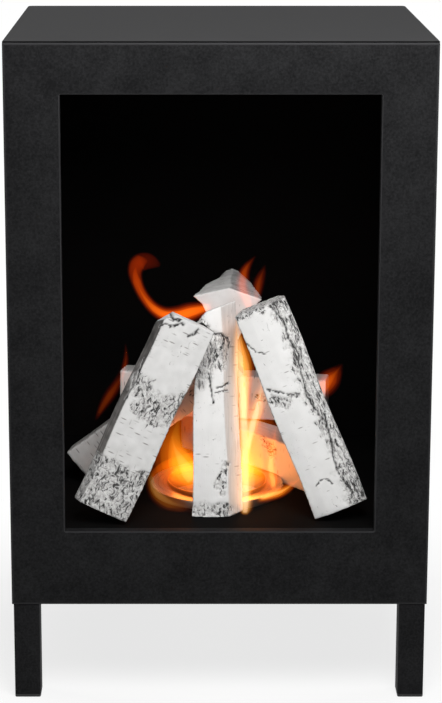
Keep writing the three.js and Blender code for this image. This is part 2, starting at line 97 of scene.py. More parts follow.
def add_node(
    tree: bpy.types.NodeTree, kind: str, settings: dict | None = None, links: dict | None = None
) -> bpy.types.Node:
    """Adds a shader node with its settings and links.

    Args:
        tree: The node tree.
        kind: The node's type without the word ShaderNode, such as "Math".
        settings: Values by property name, or by a socket's name or number. A colour is given as hex digits.
        links: What goes into each input, by name or number: an output, or a node for its first one in use.

    Returns:
        The new node.
    """
    made = tree.nodes.new(f"ShaderNode{kind}")
    for key, value in (settings or {}).items():
        if isinstance(key, str) and key not in made.inputs and hasattr(made, key):
            setattr(made, key, value)
        else:
            made.inputs[key].default_value = linear(value) if isinstance(value, str) else value
    for key, source in (links or {}).items():
        if isinstance(source, bpy.types.Node):
            source = next(output for output in source.outputs if output.enabled)
        tree.links.new(source, made.inputs[key])
    return made


def blank_nodes(owner: bpy.types.Material | bpy.types.World) -> Adder:
    """Gives a new material or world an empty node tree.

    Args:
        owner: The material or world.

    Returns:
        add_node for that tree.
    """
    owner.use_nodes = True
    owner.node_tree.nodes.clear()
    return partial(add_node, owner.node_tree)


@dataclass(frozen=True)
class Finish:
    """A material and how its surface was made. Subclasses add the pattern."""

    title: str

    def shade(self, add: Adder) -> tuple[dict, dict]:
        """Draws the finish's pattern.

        Args:
            add: Adds a node to the material.

        Returns:
            The surface shader's own values, and what is linked into it.
        """
        raise NotImplementedError

    def material(self) -> bpy.types.Material:
        """The finish's material, made once.

        Returns:
            The material.
        """
        known = bpy.data.materials.get(self.title)
        if known:
            return known
        made = bpy.data.materials.new(self.title)
        add = blank_nodes(made)
        shader = add("BsdfPrincipled", *self.shade(add))
        add("OutputMaterial", links={"Surface": shader})
        return made

    def dress(self, *pieces: bpy.types.Object) -> None:
        """Gives pieces this finish.

        Args:
            pieces: Mesh objects.
        """
        for piece in pieces:
            slots = piece.data.materials
            if len(slots):
                for number in range(len(slots)):
                    slots[number] = self.material()
            else:
                slots.append(self.material())


@dataclass(frozen=True)
class PowderCoat(Finish):
    """Mild steel, folded and powder-coated in fine-textured black.

    The baked powder leaves a fine sandy skin, so the eye gets a soft grey sheen instead of sharp reflections.
    Along the folds, where a mesh says so, a paler colour is painted in as the highlight that their bends
    catch.
    """

    title: str = "mild_steel_powder_coated_black"
    colour: str = "121213"
    worn: str = "222223"
    roughness: float = 0.55
    specular: float = 0.031
    grain: float = 2.0  # the real skin's grain is 0.3 mm, drawn coarser so that it shows
    relief: float = 0.05
    cloud: float = 30.0  # uneven thickness of the coat
    patchy: float = 0.3
    # painted highlight: the paler colour along the folds' bends
    rubbed: str = "2E2E2F"
    # painted shadow: in front of this place the coat is painted black for the shade in the groove under the
    # top panel's edge
    seam: float | None = None  # in front of this place the coat is black, as in the shadow of a seam

    def shade(self, add: Adder) -> tuple[dict, dict]:
        """Sandy grain in colour, gloss and bump, over slow clouds of coat thickness.

        Args:
            add: Adds a node to the material.

        Returns:
            The surface shader's own values, and what is linked into it.
        """
        place = add("TexCoord").outputs["Object"]
        grain = add(
            "TexNoise", {"Scale": per_mm(self.grain), "Detail": 3.0, "Roughness": 0.6}, {"Vector": place}
        )
        cloud = add("TexNoise", {"Scale": per_mm(self.cloud), "Detail": 2.0}, {"Vector": place})
        even = add("Math", {"operation": "MULTIPLY", 1: 1 - self.patchy}, {0: grain})
        blend = add("Math", {"operation": "MULTIPLY_ADD", 1: self.patchy}, {0: cloud, 2: even})
        share = add("MapRange", {"From Min": 0.36, "From Max": 0.64}, {"Value": blend})
        coat = add("Mix", {"data_type": "RGBA", 6: self.colour, 7: self.worn}, {0: share})
        # painted highlight along the folds, where the mesh marks them
        edge = add("Attribute", {"attribute_name": "rubbed"})
        colour = add("Mix", {"data_type": "RGBA", 7: self.rubbed}, {0: edge.outputs["Fac"], 6: coat})
        # painted shadow of the seam: black in front of the seam place
        if self.seam is not None:
            axes = add("SeparateXYZ", {}, {0: place})
            gap = add("Math", {"operation": "LESS_THAN", 1: self.seam * MM}, {0: axes.outputs[1]})
            colour = add("Mix", {"data_type": "RGBA", 7: "020202"}, {0: gap, 6: colour})
        gloss = add(
            "MapRange", {"To Min": self.roughness - 0.06, "To Max": self.roughness + 0.08}, {"Value": blend}
        )
        bump = add("Bump", {"Strength": 0.5, "Distance": self.relief * MM}, {"Height": grain})
        links = {"Base Color": colour, "Roughness": gloss, "Normal": bump}
        return {"Specular IOR Level": self.specular}, links


@dataclass(frozen=True)
class HeatPaint(PowderCoat):
    """Sheet steel sprayed with matt black heat-resistant paint, dulled by soot.

    It gives back next to no light, so the firebox looks like a dark hole behind the flames.
    """

    title: str = "sheet_steel_heat_resistant_paint"
    colour: str = "050505"
    worn: str = "0B0A0A"
    roughness: float = 0.8
    specular: float = 0.03
    grain: float = 1.8
    relief: float = 0.04
    cloud: float = 45.0


@dataclass(frozen=True)
class MouldedPlastic(PowderCoat):
    """Polypropylene end caps, injection moulded with a spark-eroded grain.

    A little duller and rounder at the edges than the coated tube above them.
    """

    title: str = "polypropylene_moulded_black"
    colour: str = "161616"
    worn: str = "1D1D1D"
    roughness: float = 0.62
    specular: float = 0.4
    grain: float = 0.9
    relief: float = 0.02
    cloud: float = 12.0


@dataclass(frozen=True)
class ZincPlate(Finish):
    """Steel screws, bolts and rails, zinc plated: a bluish grey metal with milky patches."""

    title: str = "steel_zinc_plated"
    colour: str = "B9BBBC"
    milky: str = "9C9D9B"
    patch: float = 3.0

    def shade(self, add: Adder) -> tuple[dict, dict]:
        """Milky patches in colour and gloss.

        Args:
            add: Adds a node to the material.

        Returns:
            The surface shader's own values, and what is linked into it.
        """
        place = add("TexCoord").outputs["Object"]
        patch = add("TexNoise", {"Scale": per_mm(self.patch), "Detail": 4.0}, {"Vector": place})
        colour = add("Mix", {"data_type": "RGBA", 6: self.colour, 7: self.milky}, {0: patch})
        gloss = add("MapRange", {"To Min": 0.28, "To Max": 0.5}, {"Value": patch})
        return {"Metallic": 1.0}, {"Base Color": colour, "Roughness": gloss}


@dataclass(frozen=True)
class SpunStainless(Finish):
    """Stainless steel burner pressings, spun on a lathe and tinted by heat towards the mouth."""

    title: str = "stainless_steel_spun"
    centre: Pair = (0.0, 0.0)
    mouth: float = 49.0
    edge: float = 67.0
    colour: str = "B5AFA6"
    straw: str = "B98A4E"
    groove: float = 0.9  # lathe marks are finer, drawn wider so that they show

    def shade(self, add: Adder) -> tuple[dict, dict]:
        """Ring-shaped lathe marks and a straw tint near the mouth.

        Args:
            add: Adds a node to the material.

        Returns:
            The surface shader's own values, and what is linked into it.
        """
        place = add("TexCoord").outputs["Object"]
        middle = (self.centre[0] * MM, self.centre[1] * MM, 0.0)
        offset = add("VectorMath", {"operation": "SUBTRACT", 1: middle}, {0: place})
        flat = add("VectorMath", {"operation": "MULTIPLY", 1: (1.0, 1.0, 0.0)}, {0: offset})
        radius = add("VectorMath", {"operation": "LENGTH"}, {0: flat})
        rings = add(
            "TexNoise", {"noise_dimensions": "1D", "Scale": per_mm(self.groove), "Detail": 2.0}, {"W": radius}
        )
        heat = add("MapRange",
            {"From Min": self.mouth * MM, "From Max": self.edge * MM, "To Min": 0.85, "To Max": 0.1},
            {"Value": radius},
        )
        colour = add("Mix", {"data_type": "RGBA", 6: self.colour, 7: self.straw}, {0: heat})
        gloss = add("MapRange", {"To Min": 0.2, "To Max": 0.42}, {"Value": rings})
        bump = add("Bump", {"Strength": 0.3, "Distance": 0.02 * MM}, {"Height": rings})
        return {"Metallic": 1.0}, {"Base Color": colour, "Roughness": gloss, "Normal": bump}


@dataclass(frozen=True)
class CeramicFibre(Finish):
    """Ceramic fibre wool, felted: matted off-white strands, scorched grey on top."""

    title: str = "ceramic_fibre_felted"
    colour: str = "D8D1C3"
    scorched: str = "8F8577"
    strand: float = 1.1

    def shade(self, add: Adder) -> tuple[dict, dict]:
        """Matted strands in colour and bump.

        Args:
            add: Adds a node to the material.

        Returns:
            The surface shader's own values, and what is linked into it.
        """
        place = add("TexCoord").outputs["Object"]
        strands = add(
            "TexNoise", {"Scale": per_mm(self.strand), "Detail": 5.0, "Distortion": 1.5}, {"Vector": place}
        )
        colour = add("Mix", {"data_type": "RGBA", 6: self.colour, 7: self.scorched}, {0: strands})
        bump = add("Bump", {"Strength": 0.8, "Distance": 0.6 * MM}, {"Height": strands})
        return {"Roughness": 0.95}, {"Base Color": colour, "Normal": bump}


@dataclass(frozen=True)
class BirchCeramic(Finish):
    """Refractory ceramic, cast in a bark mould and painted by hand as white birch.

    Chalky white bark with thin grey pores across the log, black flecks where the bark has burst, and greyer
    split faces with grain along the log. The meshes carry where each of these lies.
    """

    title: str = "refractory_ceramic_cast_birch"
    white: str = "E6E5E4"
    shade_white: str = "D3D2D0"
    torn: str = "B9B7B5"
    pore: str = "85827F"
    ink: str = "141312"
    split: str = "C3BEBB"
    split_dark: str = "827D79"
    # the dark grey that painted shade on split faces and right-facing sides, and each log's dimming, mix
    # towards
    darkened: str = "3C3A39"
    pore_length: float = 13.0
    pore_spacing: float = 2.6
    fleck: float = 3.5
    streak: float = 2.8

    def shade(self, add: Adder) -> tuple[dict, dict]:
        """Bark, pores, flecks and split faces, laid out by the mesh's own attributes.

        Args:
            add: Adds a node to the material.

        Returns:
            The surface shader's own values, and what is linked into it.
        """
        place = add("Attribute", {"attribute_name": "log_place"}).outputs["Vector"]
        marks = {
            name: add("Attribute", {"attribute_name": name}).outputs["Fac"]
            for name in ("bark", "burst", "streak", "crack", "smoke", "end", "soot")
        }
        torn = add("Math", {"operation": "MAXIMUM"}, {0: marks["burst"], 1: marks["streak"]})
        skin = self.shade_skin(add, place, torn)
        burst = self.shade_flecks(add, place, (1.0, 1.0, 0.6), self.fleck, marks["burst"])
        streaks = self.shade_flecks(add, place, (1.0, 1.0, 0.3), self.streak, marks["streak"])
        flecks = add("Math", {"operation": "MAXIMUM"}, {0: burst, 1: streaks})
        inked = add("Math", {"operation": "MAXIMUM"}, {0: flecks, 1: marks["crack"]})
        bark_colour = add("Mix", {"data_type": "RGBA", 7: self.ink}, {0: inked, 6: skin})
        wood, grain = self.shade_wood(add, place, marks)
        colour = add("Mix", {"data_type": "RGBA"}, {0: marks["bark"], 6: wood, 7: bark_colour})
        # darkened by the log's dimming and by painted shade on its right-facing sides
        dimmed = add("Mix", {"data_type": "RGBA", 7: self.darkened}, {0: marks["soot"], 6: colour})
        pitted = add("Bump", {"Strength": 0.7, "Distance": 0.8 * MM, "invert": True}, {"Height": inked})
        grained = add("Bump", {"Strength": 0.25, "Distance": 0.4 * MM}, {"Height": grain, "Normal": pitted})
        return {"Roughness": 0.78, "Specular IOR Level": 0.3}, {"Base Color": dimmed, "Normal": grained}

    def shade_skin(self, add: Adder, place: Source, torn: Source) -> Source:
        """Chalky white skin with thin pores across the log, here and there in groups.

        Args:
            add: Adds a node to the material.
            place: Places on the log, in millimetres.
            torn: How torn the bark is, 0 to 1. Torn bark is greyer.

        Returns:
            The skin's colour.
        """
        cloud = add("TexNoise", {"Scale": 1 / 18, "Detail": 4.0}, {"Vector": place})
        clean = add("Mix", {"data_type": "RGBA", 6: self.white, 7: self.shade_white}, {0: cloud})
        mottle = add("TexNoise", {"Scale": 1 / 2.2, "Detail": 3.0}, {"Vector": place})
        grey = add("MapRange", {"From Min": 0.42, "From Max": 0.62}, {"Value": mottle})
        greyed = add("Math", {"operation": "MULTIPLY"}, {0: grey, 1: torn})
        skin = add("Mix", {"data_type": "RGBA", 7: self.torn}, {0: greyed, 6: clean})
        stretched = add("VectorMath",
            {"operation": "MULTIPLY", 1: (1 / self.pore_length, 0.02, 1 / self.pore_spacing)}, {0: place},
        )
        cells = add("TexVoronoi", {"Scale": 1.0}, {"Vector": stretched})
        pores = add("MapRange", {"From Min": 0.3, "From Max": 0.18, "To Max": 0.8}, {"Value": cells})
        group = add("TexNoise", {"Scale": 1 / 22, "Detail": 1.0}, {"Vector": place})
        lot = add("Math", {"operation": "ADD"}, {0: cells.outputs["Color"], 1: group})
        chosen = add("MapRange", {"From Min": 1.08, "From Max": 1.2}, {"Value": lot})
        thinned = add("Math", {"operation": "MULTIPLY"}, {0: pores, 1: chosen})
        return add("Mix", {"data_type": "RGBA", 7: self.pore}, {0: thinned, 6: skin})

    def shade_flecks(self, add: Adder, place: Source, stretch: Triple, size: float, amount: Source) -> Source:
        """Black flecks that thicken with the amount of burst bark.

        Args:
            add: Adds a node to the material.
            place: Places on the log, in millimetres.
            stretch: The pattern's scale across, into and along the log.
            size: The flecks' size in millimetres.
            amount: How burst the bark is, 0 to 1.

        Returns:
            0 for clean bark to 1 for black.
        """
        stretched = add("VectorMath", {"operation": "MULTIPLY", 1: stretch}, {0: place})
        flecks = add("TexNoise", {"Scale": 1 / size, "Detail": 2.6, "Roughness": 0.6, "Distortion": 1.2},
            {"Vector": stretched},
        )
        raised = add("Math", {"operation": "MULTIPLY_ADD", 1: -0.2}, {0: amount, 2: flecks})
        return add("MapRange", {"From Min": 0.32, "From Max": 0.17, "To Max": 0.94}, {"Value": raised})

    def shade_wood(self, add: Adder, place: Source, marks: dict[str, Source]) -> tuple[Source, Source]:
        """Fine grain along the split faces, darker where painted shade lies on them and plainer on the ends.

        Args:
            add: Adds a node to the material.
            place: Places on the log, in millimetres.
            marks: The mesh's marks by name.

        Returns:
            The faces' colour, and the grain's height.
        """
        along = add("VectorMath", {"operation": "MULTIPLY", 1: (1 / 1.8, 1 / 1.8, 1 / 45)}, {0: place})
        grain = add("TexNoise", {"Scale": 1.0, "Detail": 4.0, "Roughness": 0.6}, {"Vector": along})
        plainness = add("Math", {"operation": "MULTIPLY_ADD", 1: -0.7, 2: 1.0}, {0: marks["end"]})
        share = add("MapRange", {"From Min": 0.35, "From Max": 0.7}, {"Value": grain, "To Max": plainness})
        wood = add("Mix", {"data_type": "RGBA", 6: self.split, 7: self.split_dark}, {0: share})
        # painted shade on the split faces
        darkened = add("Mix", {"data_type": "RGBA", 7: self.darkened}, {0: marks["smoke"], 6: wood})
        cracked = add("Mix", {"data_type": "RGBA", 7: self.ink}, {0: marks["crack"], 6: darkened})
        return cracked, grain


# ---- Meshes ----


def placed(name: str, data: bpy.types.ID) -> bpy.types.Object:
    """Puts a mesh, lamp or camera in the scene.

    Args:
        name: The object's name.
        data: What it holds.

    Returns:
        The object.
    """
    made = bpy.data.objects.new(name, data)
    bpy.context.scene.collection.objects.link(made)
    return made


def new_piece(name: str, mesh: bmesh.types.BMesh, smooth_angle: float = 35.0) -> bpy.types.Object:
    """Turns a bmesh into an object in the scene.

    Args:
        name: The piece's name.
        mesh: Its geometry in metres. It is freed.
        smooth_angle: Edges flatter than this many degrees are shaded smooth.

    Returns:
        The object.
    """
    bmesh.ops.recalc_face_normals(mesh, faces=mesh.faces)
    data = bpy.data.meshes.new(name)
    mesh.to_mesh(data)
    mesh.free()
    data.shade_smooth()
    data.set_sharp_from_angle(angle=math.radians(smooth_angle))
    return placed(name, data)


def loft(mesh: bmesh.types.BMesh, loops: list[list[Vector]], closed: bool = True) -> None:
    """Joins rings of points, each with as many points as the next, by quads.

    Args:
        mesh: The bmesh that the faces go into.
        loops: The rings.
        closed: Whether the last ring joins the first; otherwise both ends are capped.
    """
    rings = [[mesh.verts.new(point) for point in loop] for loop in loops]
    count = len(rings[0])
    pairs = list(zip(rings, rings[1:] + rings[:1])) if closed else list(zip(rings, rings[1:]))
    for ring, following in pairs:
        for i in range(count):
            j = (i + 1) % count
            mesh.faces.new((ring[i], ring[j], following[j], following[i]))
    if not closed:
        mesh.faces.new(rings[0])
        mesh.faces.new(rings[-1])


def keep_values(mesh: bpy.types.Mesh, values: dict[str, np.ndarray]) -> None:
    """Keeps values on a mesh's points for its material.

    Args:
        mesh: The mesh.
        values: By the attribute's name, a number or a vector for each point.
    """
    for name, rows in values.items():
        kind, key = ("FLOAT_VECTOR", "vector") if rows.ndim == 2 else ("FLOAT", "value")
        attribute = mesh.attributes.new(name, kind, "POINT")
        attribute.data.foreach_set(key, np.asarray(rows, np.float32).ravel())


def stand_in(piece: bpy.types.Object, finish: Finish, node: str, body: str = "root") -> None:
    """Finishes a made piece and puts it in the place of a CAD node.

    Args:
        piece: The piece.
        finish: Its finish.
        node: The CAD node's name.
        body: The body that carries it.
    """
    finish.dress(piece)
    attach(piece, body)
    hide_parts(node)


def turned(middle: Vector, profile: list[Pair], around: int) -> list[list[Vector]]:
    """Rings of points that turn a profile round an upright axis.

    Args:
        middle: The profile's origin on the axis, in metres.
        profile: Points out from the axis and up, in millimetres.
        around: Points in each ring.

    Returns:
        The rings.
    """
    turns = [math.tau * step / around for step in range(around)]
    sides = [(math.cos(turn), math.sin(turn)) for turn in turns]
    return [[middle + Vector((out * x, out * y, up)) * MM for x, y in sides] for out, up in profile]


def burner_centre() -> Vector:
    """The middle of the burner at the height of the hearth, in metres."""
    low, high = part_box("burner_ring")
    return Vector(((low.x + high.x) / 2, (low.y + high.y) / 2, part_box("hearth_plate")[1].z))


def plain_copy(node: str) -> bmesh.types.BMesh:
    """A CAD node's mesh with its doubled points joined.

    Args:
        node: The node's name.

    Returns:
        The copy.
    """
    mesh = bmesh.new()
    mesh.from_mesh(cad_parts[node].data)
    bmesh.ops.remove_doubles(mesh, verts=mesh.verts, dist=SAME_PLACE)
    return mesh


def slice_off(mesh: bmesh.types.BMesh, place: Vector, away: Vector) -> None:
    """Takes off what lies beyond a plane and closes the cut.

    Args:
        mesh: The closed mesh.
        place: A point in the plane, in metres.
        away: The direction of what is taken off.
    """
    geometry = [*mesh.verts, *mesh.edges, *mesh.faces]
    cut = bmesh.ops.bisect_plane(mesh, geom=geometry, plane_co=place, plane_no=away, clear_outer=True)
    rim = [item for item in cut["geom_cut"] if isinstance(item, bmesh.types.BMEdge)]
    bmesh.ops.holes_fill(mesh, edges=rim)


def rounded_rectangle(low: tuple, high: tuple, radius: float, steps: int = 5) -> list[Pair]:
    """Points round a rectangle with rounded corners.

    Args:
        low: Its lowest corner.
        high: Its highest corner.
        radius: The corners' radius.
        steps: Segments in each corner.

    Returns:
        The points, counter-clockwise.
    """
    corners = [
        (high[0] - radius, high[1] - radius, 0), (low[0] + radius, high[1] - radius, 90),
        (low[0] + radius, low[1] + radius, 180), (high[0] - radius, low[1] + radius, 270),
    ]
    points = []
    for x, y, start in corners:
        for step in range(steps + 1):
            angle = math.radians(start + 90 * step / steps)
            points.append((x + radius * math.cos(angle), y + radius * math.sin(angle)))
    return points


def soften(piece: bpy.types.Object, radius: float, segments: int = 3) -> None:
    """Rounds a carried-over piece's edges with modifiers, which leave its mesh as it is.

    Args:
        piece: The object.
        radius: The edges' radius in millimetres.
        segments: Segments in each rounded edge.
    """
    weld = piece.modifiers.new("weld", "WELD")
    weld.merge_threshold = SAME_PLACE
    flat = piece.modifiers.new("flat", "DECIMATE")
    flat.decimate_type = "DISSOLVE"
    flat.angle_limit = math.radians(1)
    edges = piece.modifiers.new("edges", "BEVEL")
    edges.width = radius * MM
    edges.segments = segments
    edges.limit_method = "ANGLE"
    edges.angle_limit = math.radians(40)
    edges.harden_normals = False
    edges.use_clamp_overlap = True


# ---- Casing ----


@dataclass
class Casing:
    """The folded sheet-steel casing, its hearth and shields."""

    sheet: float = 1.5
    frame_side: float = 52.0
    frame_top: float = 49.0
    opening_return: float = 10.0
    fold: float = 1.4
    edge: float = 2.4
    front_corner: float = 2.2
    opening_corner: float = 1.2
    top_corner: float = 1.2
    bend_steps: int = 4
    sheared: float = 0.35
    seam_step: float = 1.2  # how far the front panel's top edge lies under the top panel's
    # how far behind the top panel's front edge the painted seam shadow reaches, in millimetres
    seam_shadow_depth: float = 0.9
    rear_corner: float = 5.0
    rear_steps: int = 6
    lip_side: float = 20.0
    coat: PowderCoat = field(default_factory=PowderCoat)
    paint: HeatPaint = field(default_factory=HeatPaint)

    def build(self) -> None:
        """Dresses the panels that keep their shape and makes the front and top panels."""
        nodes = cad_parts
        self.coat.dress(*(node for name, node in nodes.items() if name.endswith("_panel")))
        self.paint.dress(*(nodes[name] for name in ("hearth_plate", "rear_heat_shield", "top_heat_shield")))
        for name in ("left_side_panel", "right_side_panel", "back_panel", "bottom_panel"):
            soften(nodes[name], self.sheared)
        self.build_front()
        self.build_top()
        LOG.info("casing dressed")

    def build_front(self) -> None:
        """Makes the front panel: rings round its opening for face, fold, return and back, and the foot."""
        low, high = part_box("front_panel")
        sheet, fold, behind = self.sheet * MM, self.fold * MM, low.y + self.opening_return * MM
        outer = (low.x, low.z), (high.x, high.z - self.seam_step * MM), self.front_corner
        hearth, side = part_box("hearth_plate")[1].z, self.frame_side * MM
        mouth = (low.x + side, hearth), (high.x - side, high.z - self.frame_top * MM), self.opening_corner

        def ring(grow: float, y: float, outline: tuple) -> list[Vector]:
            """One ring round the panel or its opening.

            Args:
                grow: How far it is moved outwards, in metres.
                y: Its place from front to back, in metres.
                outline: Its lowest and highest corner, and its corners' radius in millimetres.

            Returns:
                The ring's points.
            """
            start, end, corner = outline
            points = rounded_rectangle(
                (start[0] - grow, start[1] - grow), (end[0] + grow, end[1] + grow),
                max(corner * MM + grow, 0.2 * MM),
            )
            return [Vector((x, y, z)) for x, z in points]

        arc = [math.radians(90 * i / self.bend_steps) for i in range(self.bend_steps + 1)]
        rings = [ring(-0.3 * MM, low.y + sheet, outer)]
        for angle in arc:
            inset = self.edge * MM * (1 - math.cos(angle))
            rings.append(ring(-inset, low.y + sheet * (1 - math.sin(angle)), outer))
        for angle in arc:
            rings.append(ring(fold * (1 - math.sin(angle)), low.y + fold * (1 - math.cos(angle)), mouth))
        rings += [ring(0, behind, mouth), ring(sheet, behind, mouth), ring(sheet, low.y + sheet, mouth)]
        mesh = bmesh.new()
        loft(mesh, rings)
        foot = self.cut_foot(low.y + sheet, low.z + sheet)
        mesh.from_mesh(foot)
        piece = new_piece("front_frame", mesh)
        # painted highlight: strongest half way round each bend, and full at the panel's outer edge below the
        # top seam
        bends = [math.sin(2 * a) ** 0.5 if 0 < a < math.pi / 2 else 0.0 for a in arc]
        worn = [0.0, 1.0, *bends[1:], *bends, 0.0, 0.0, 0.0]
        around = np.repeat(np.float32(worn), len(rings[0]))
        plain = np.zeros(len(foot.vertices), np.float32)
        keep_values(piece.data, {"rubbed": np.append(around, plain)})
        stand_in(piece, self.coat, "front_panel")

    def cut_foot(self, behind: float, above: float) -> bpy.types.Mesh:
        """Cuts the foot that is folded back under the casing out of the plain front panel.

        Args:
            behind: Where the panel's face ends, in metres.
            above: Where the foot ends, in metres.

        Returns:
            The foot with its bolt holes.
        """
        hair = 0.05 * MM
        mesh = plain_copy("front_panel")
        slice_off(mesh, Vector((0, behind - hair, 0)), Vector((0, -1, 0)))
        slice_off(mesh, Vector((0, 0, above + hair)), Vector((0, 0, 1)))
        foot = bpy.data.meshes.new("front_frame_foot")
        mesh.to_mesh(foot)
        mesh.free()
        return foot

    def build_top(self) -> None:
        """Makes the top panel: a plate with round rear corners and a lip folded down behind the front."""
        low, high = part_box("top_panel")
        sheet, soft, flat, burr = self.sheet * MM, 0.5 * MM, 0.6 * MM, 0.2 * MM

        def ring(inset: float, z: float) -> list[Vector]:
            """One ring round the plate.

            Args:
                inset: How far it lies inside the plate's edge, in metres.
                z: Its height in metres.

            Returns:
                The ring's points.
            """
            outline = []
            for y, radius, starts in (
                (high.y - inset, self.rear_corner * MM, (0, 90)),
                (low.y + inset, self.top_corner * MM, (180, 270)),
            ):
                bend = max(radius - inset, 0.3 * MM)
                for start in starts:
                    turn = math.radians(start + 45)
                    side = high.x - inset - bend if math.cos(turn) > 0 else low.x + inset + bend
                    middle = y - math.copysign(bend, math.sin(turn))
                    for step in range(self.rear_steps + 1):
                        angle = math.radians(start + 90 / self.rear_steps * step)
                        outline.append(
                            Vector((side + bend * math.cos(angle), middle + bend * math.sin(angle), z)),
                        )
            return outline

        under = high.z - sheet
        sections = (
            (flat, under), (burr, under), (0, under + burr), (0, high.z - soft),
            (soft * 0.3, high.z - soft * 0.3), (soft, high.z), (soft + flat, high.z),
        )
        mesh = bmesh.new()
        loft(mesh, [ring(inset, z) for inset, z in sections], closed=False)
        side = self.lip_side * MM
        lip = rounded_rectangle((low.x + side, low.z), (high.x - side, high.z - 2 * burr), 0.3 * MM, 2)
        loft(mesh, [[Vector((x, y, z)) for x, z in lip] for y in (low.y, low.y + sheet)], closed=False)
        # the top plate's front edge and lip get the painted seam shadow
        seam_shadowed = PowderCoat("mild_steel_powder_coated_seamed", seam=low.y / MM + self.seam_shadow_depth)
        stand_in(new_piece("top_plate", mesh), seam_shadowed, "top_panel")


# ---- Legs and fasteners ----


@dataclass
class Legs:
    """Square-tube legs with rounded corners, their moulded caps and their bolts."""

    corner: float = 2.0
    coat: PowderCoat = field(default_factory=PowderCoat)
    plastic: MouldedPlastic = field(default_factory=MouldedPlastic)
    zinc: ZincPlate = field(default_factory=ZincPlate)

    def build(self) -> None:
        """Makes the tubes and caps, and dresses the bolts."""
        for name, node in list(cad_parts.items()):
            if name.startswith("leg_cap"):
                self.build_cap(name)
            elif name.startswith("leg_bolt"):
                self.zinc.dress(node)
            elif name.startswith("leg_"):
                self.build_tube(name)
        LOG.info("legs made")

    def build_tube(self, node: str) -> None:
        """Makes one tube with rounded corners and its closed top.

        Args:
            node: The CAD leg's name.
        """
        low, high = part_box(node)
        wall, plate, burr = 1.5 * MM, 6 * MM, 0.2 * MM
        sections = (
            (wall, high.z - plate), (wall, low.z), (burr, low.z), (0, low.z + burr), (0, high.z - burr),
            (burr, high.z),
        )
        self.build_square(f"{node}_tube", sections, self.coat, node)

    def build_cap(self, node: str) -> None:
        """Makes one end cap with softly rounded edges.

        Args:
            node: The CAD cap's name.
        """
        low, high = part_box(node)
        flange, wall, bore, soft = low.z + 3 * MM, 1.8 * MM, 5.5 * MM, 0.8 * MM
        sections = (
            (soft, low.z), (soft * 0.3, low.z + soft * 0.3), (0, low.z + soft), (0, flange), (wall, flange),
            (wall, high.z), (bore, high.z), (bore, flange),
        )
        self.build_square(f"{node}_moulding", sections, self.plastic, node)

    def build_square(self, name: str, sections: tuple, finish: Finish, node: str) -> None:
        """Joins square rings with rounded corners into a piece.

        Args:
            name: The piece's name.
            sections: How far each ring lies inside the CAD piece's box, and its height, in metres.
            finish: The piece's finish.
            node: The CAD piece's name.
        """
        low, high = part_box(node)
        rings = []
        for inset, z in sections:
            outline = rounded_rectangle(
                (low.x + inset, low.y + inset), (high.x - inset, high.y - inset),
                max(self.corner * MM - inset, 0.4 * MM),
            )
            rings.append([Vector((x, y, z)) for x, y in outline])
        mesh = bmesh.new()
        loft(mesh, rings, closed=False)
        stand_in(new_piece(name, mesh), finish, node)


@dataclass
class Fasteners:
    """Screws and the hearth's angle rails."""

    zinc: ZincPlate = field(default_factory=ZincPlate)

    def build(self) -> None:
        """Dresses the screws and rails."""
        for name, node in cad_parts.items():
            if "screw" in name or "rail" in name:
                self.zinc.dress(node)
                soften(node, 0.3)
        LOG.info("fasteners dressed")


# ---- Burner ----


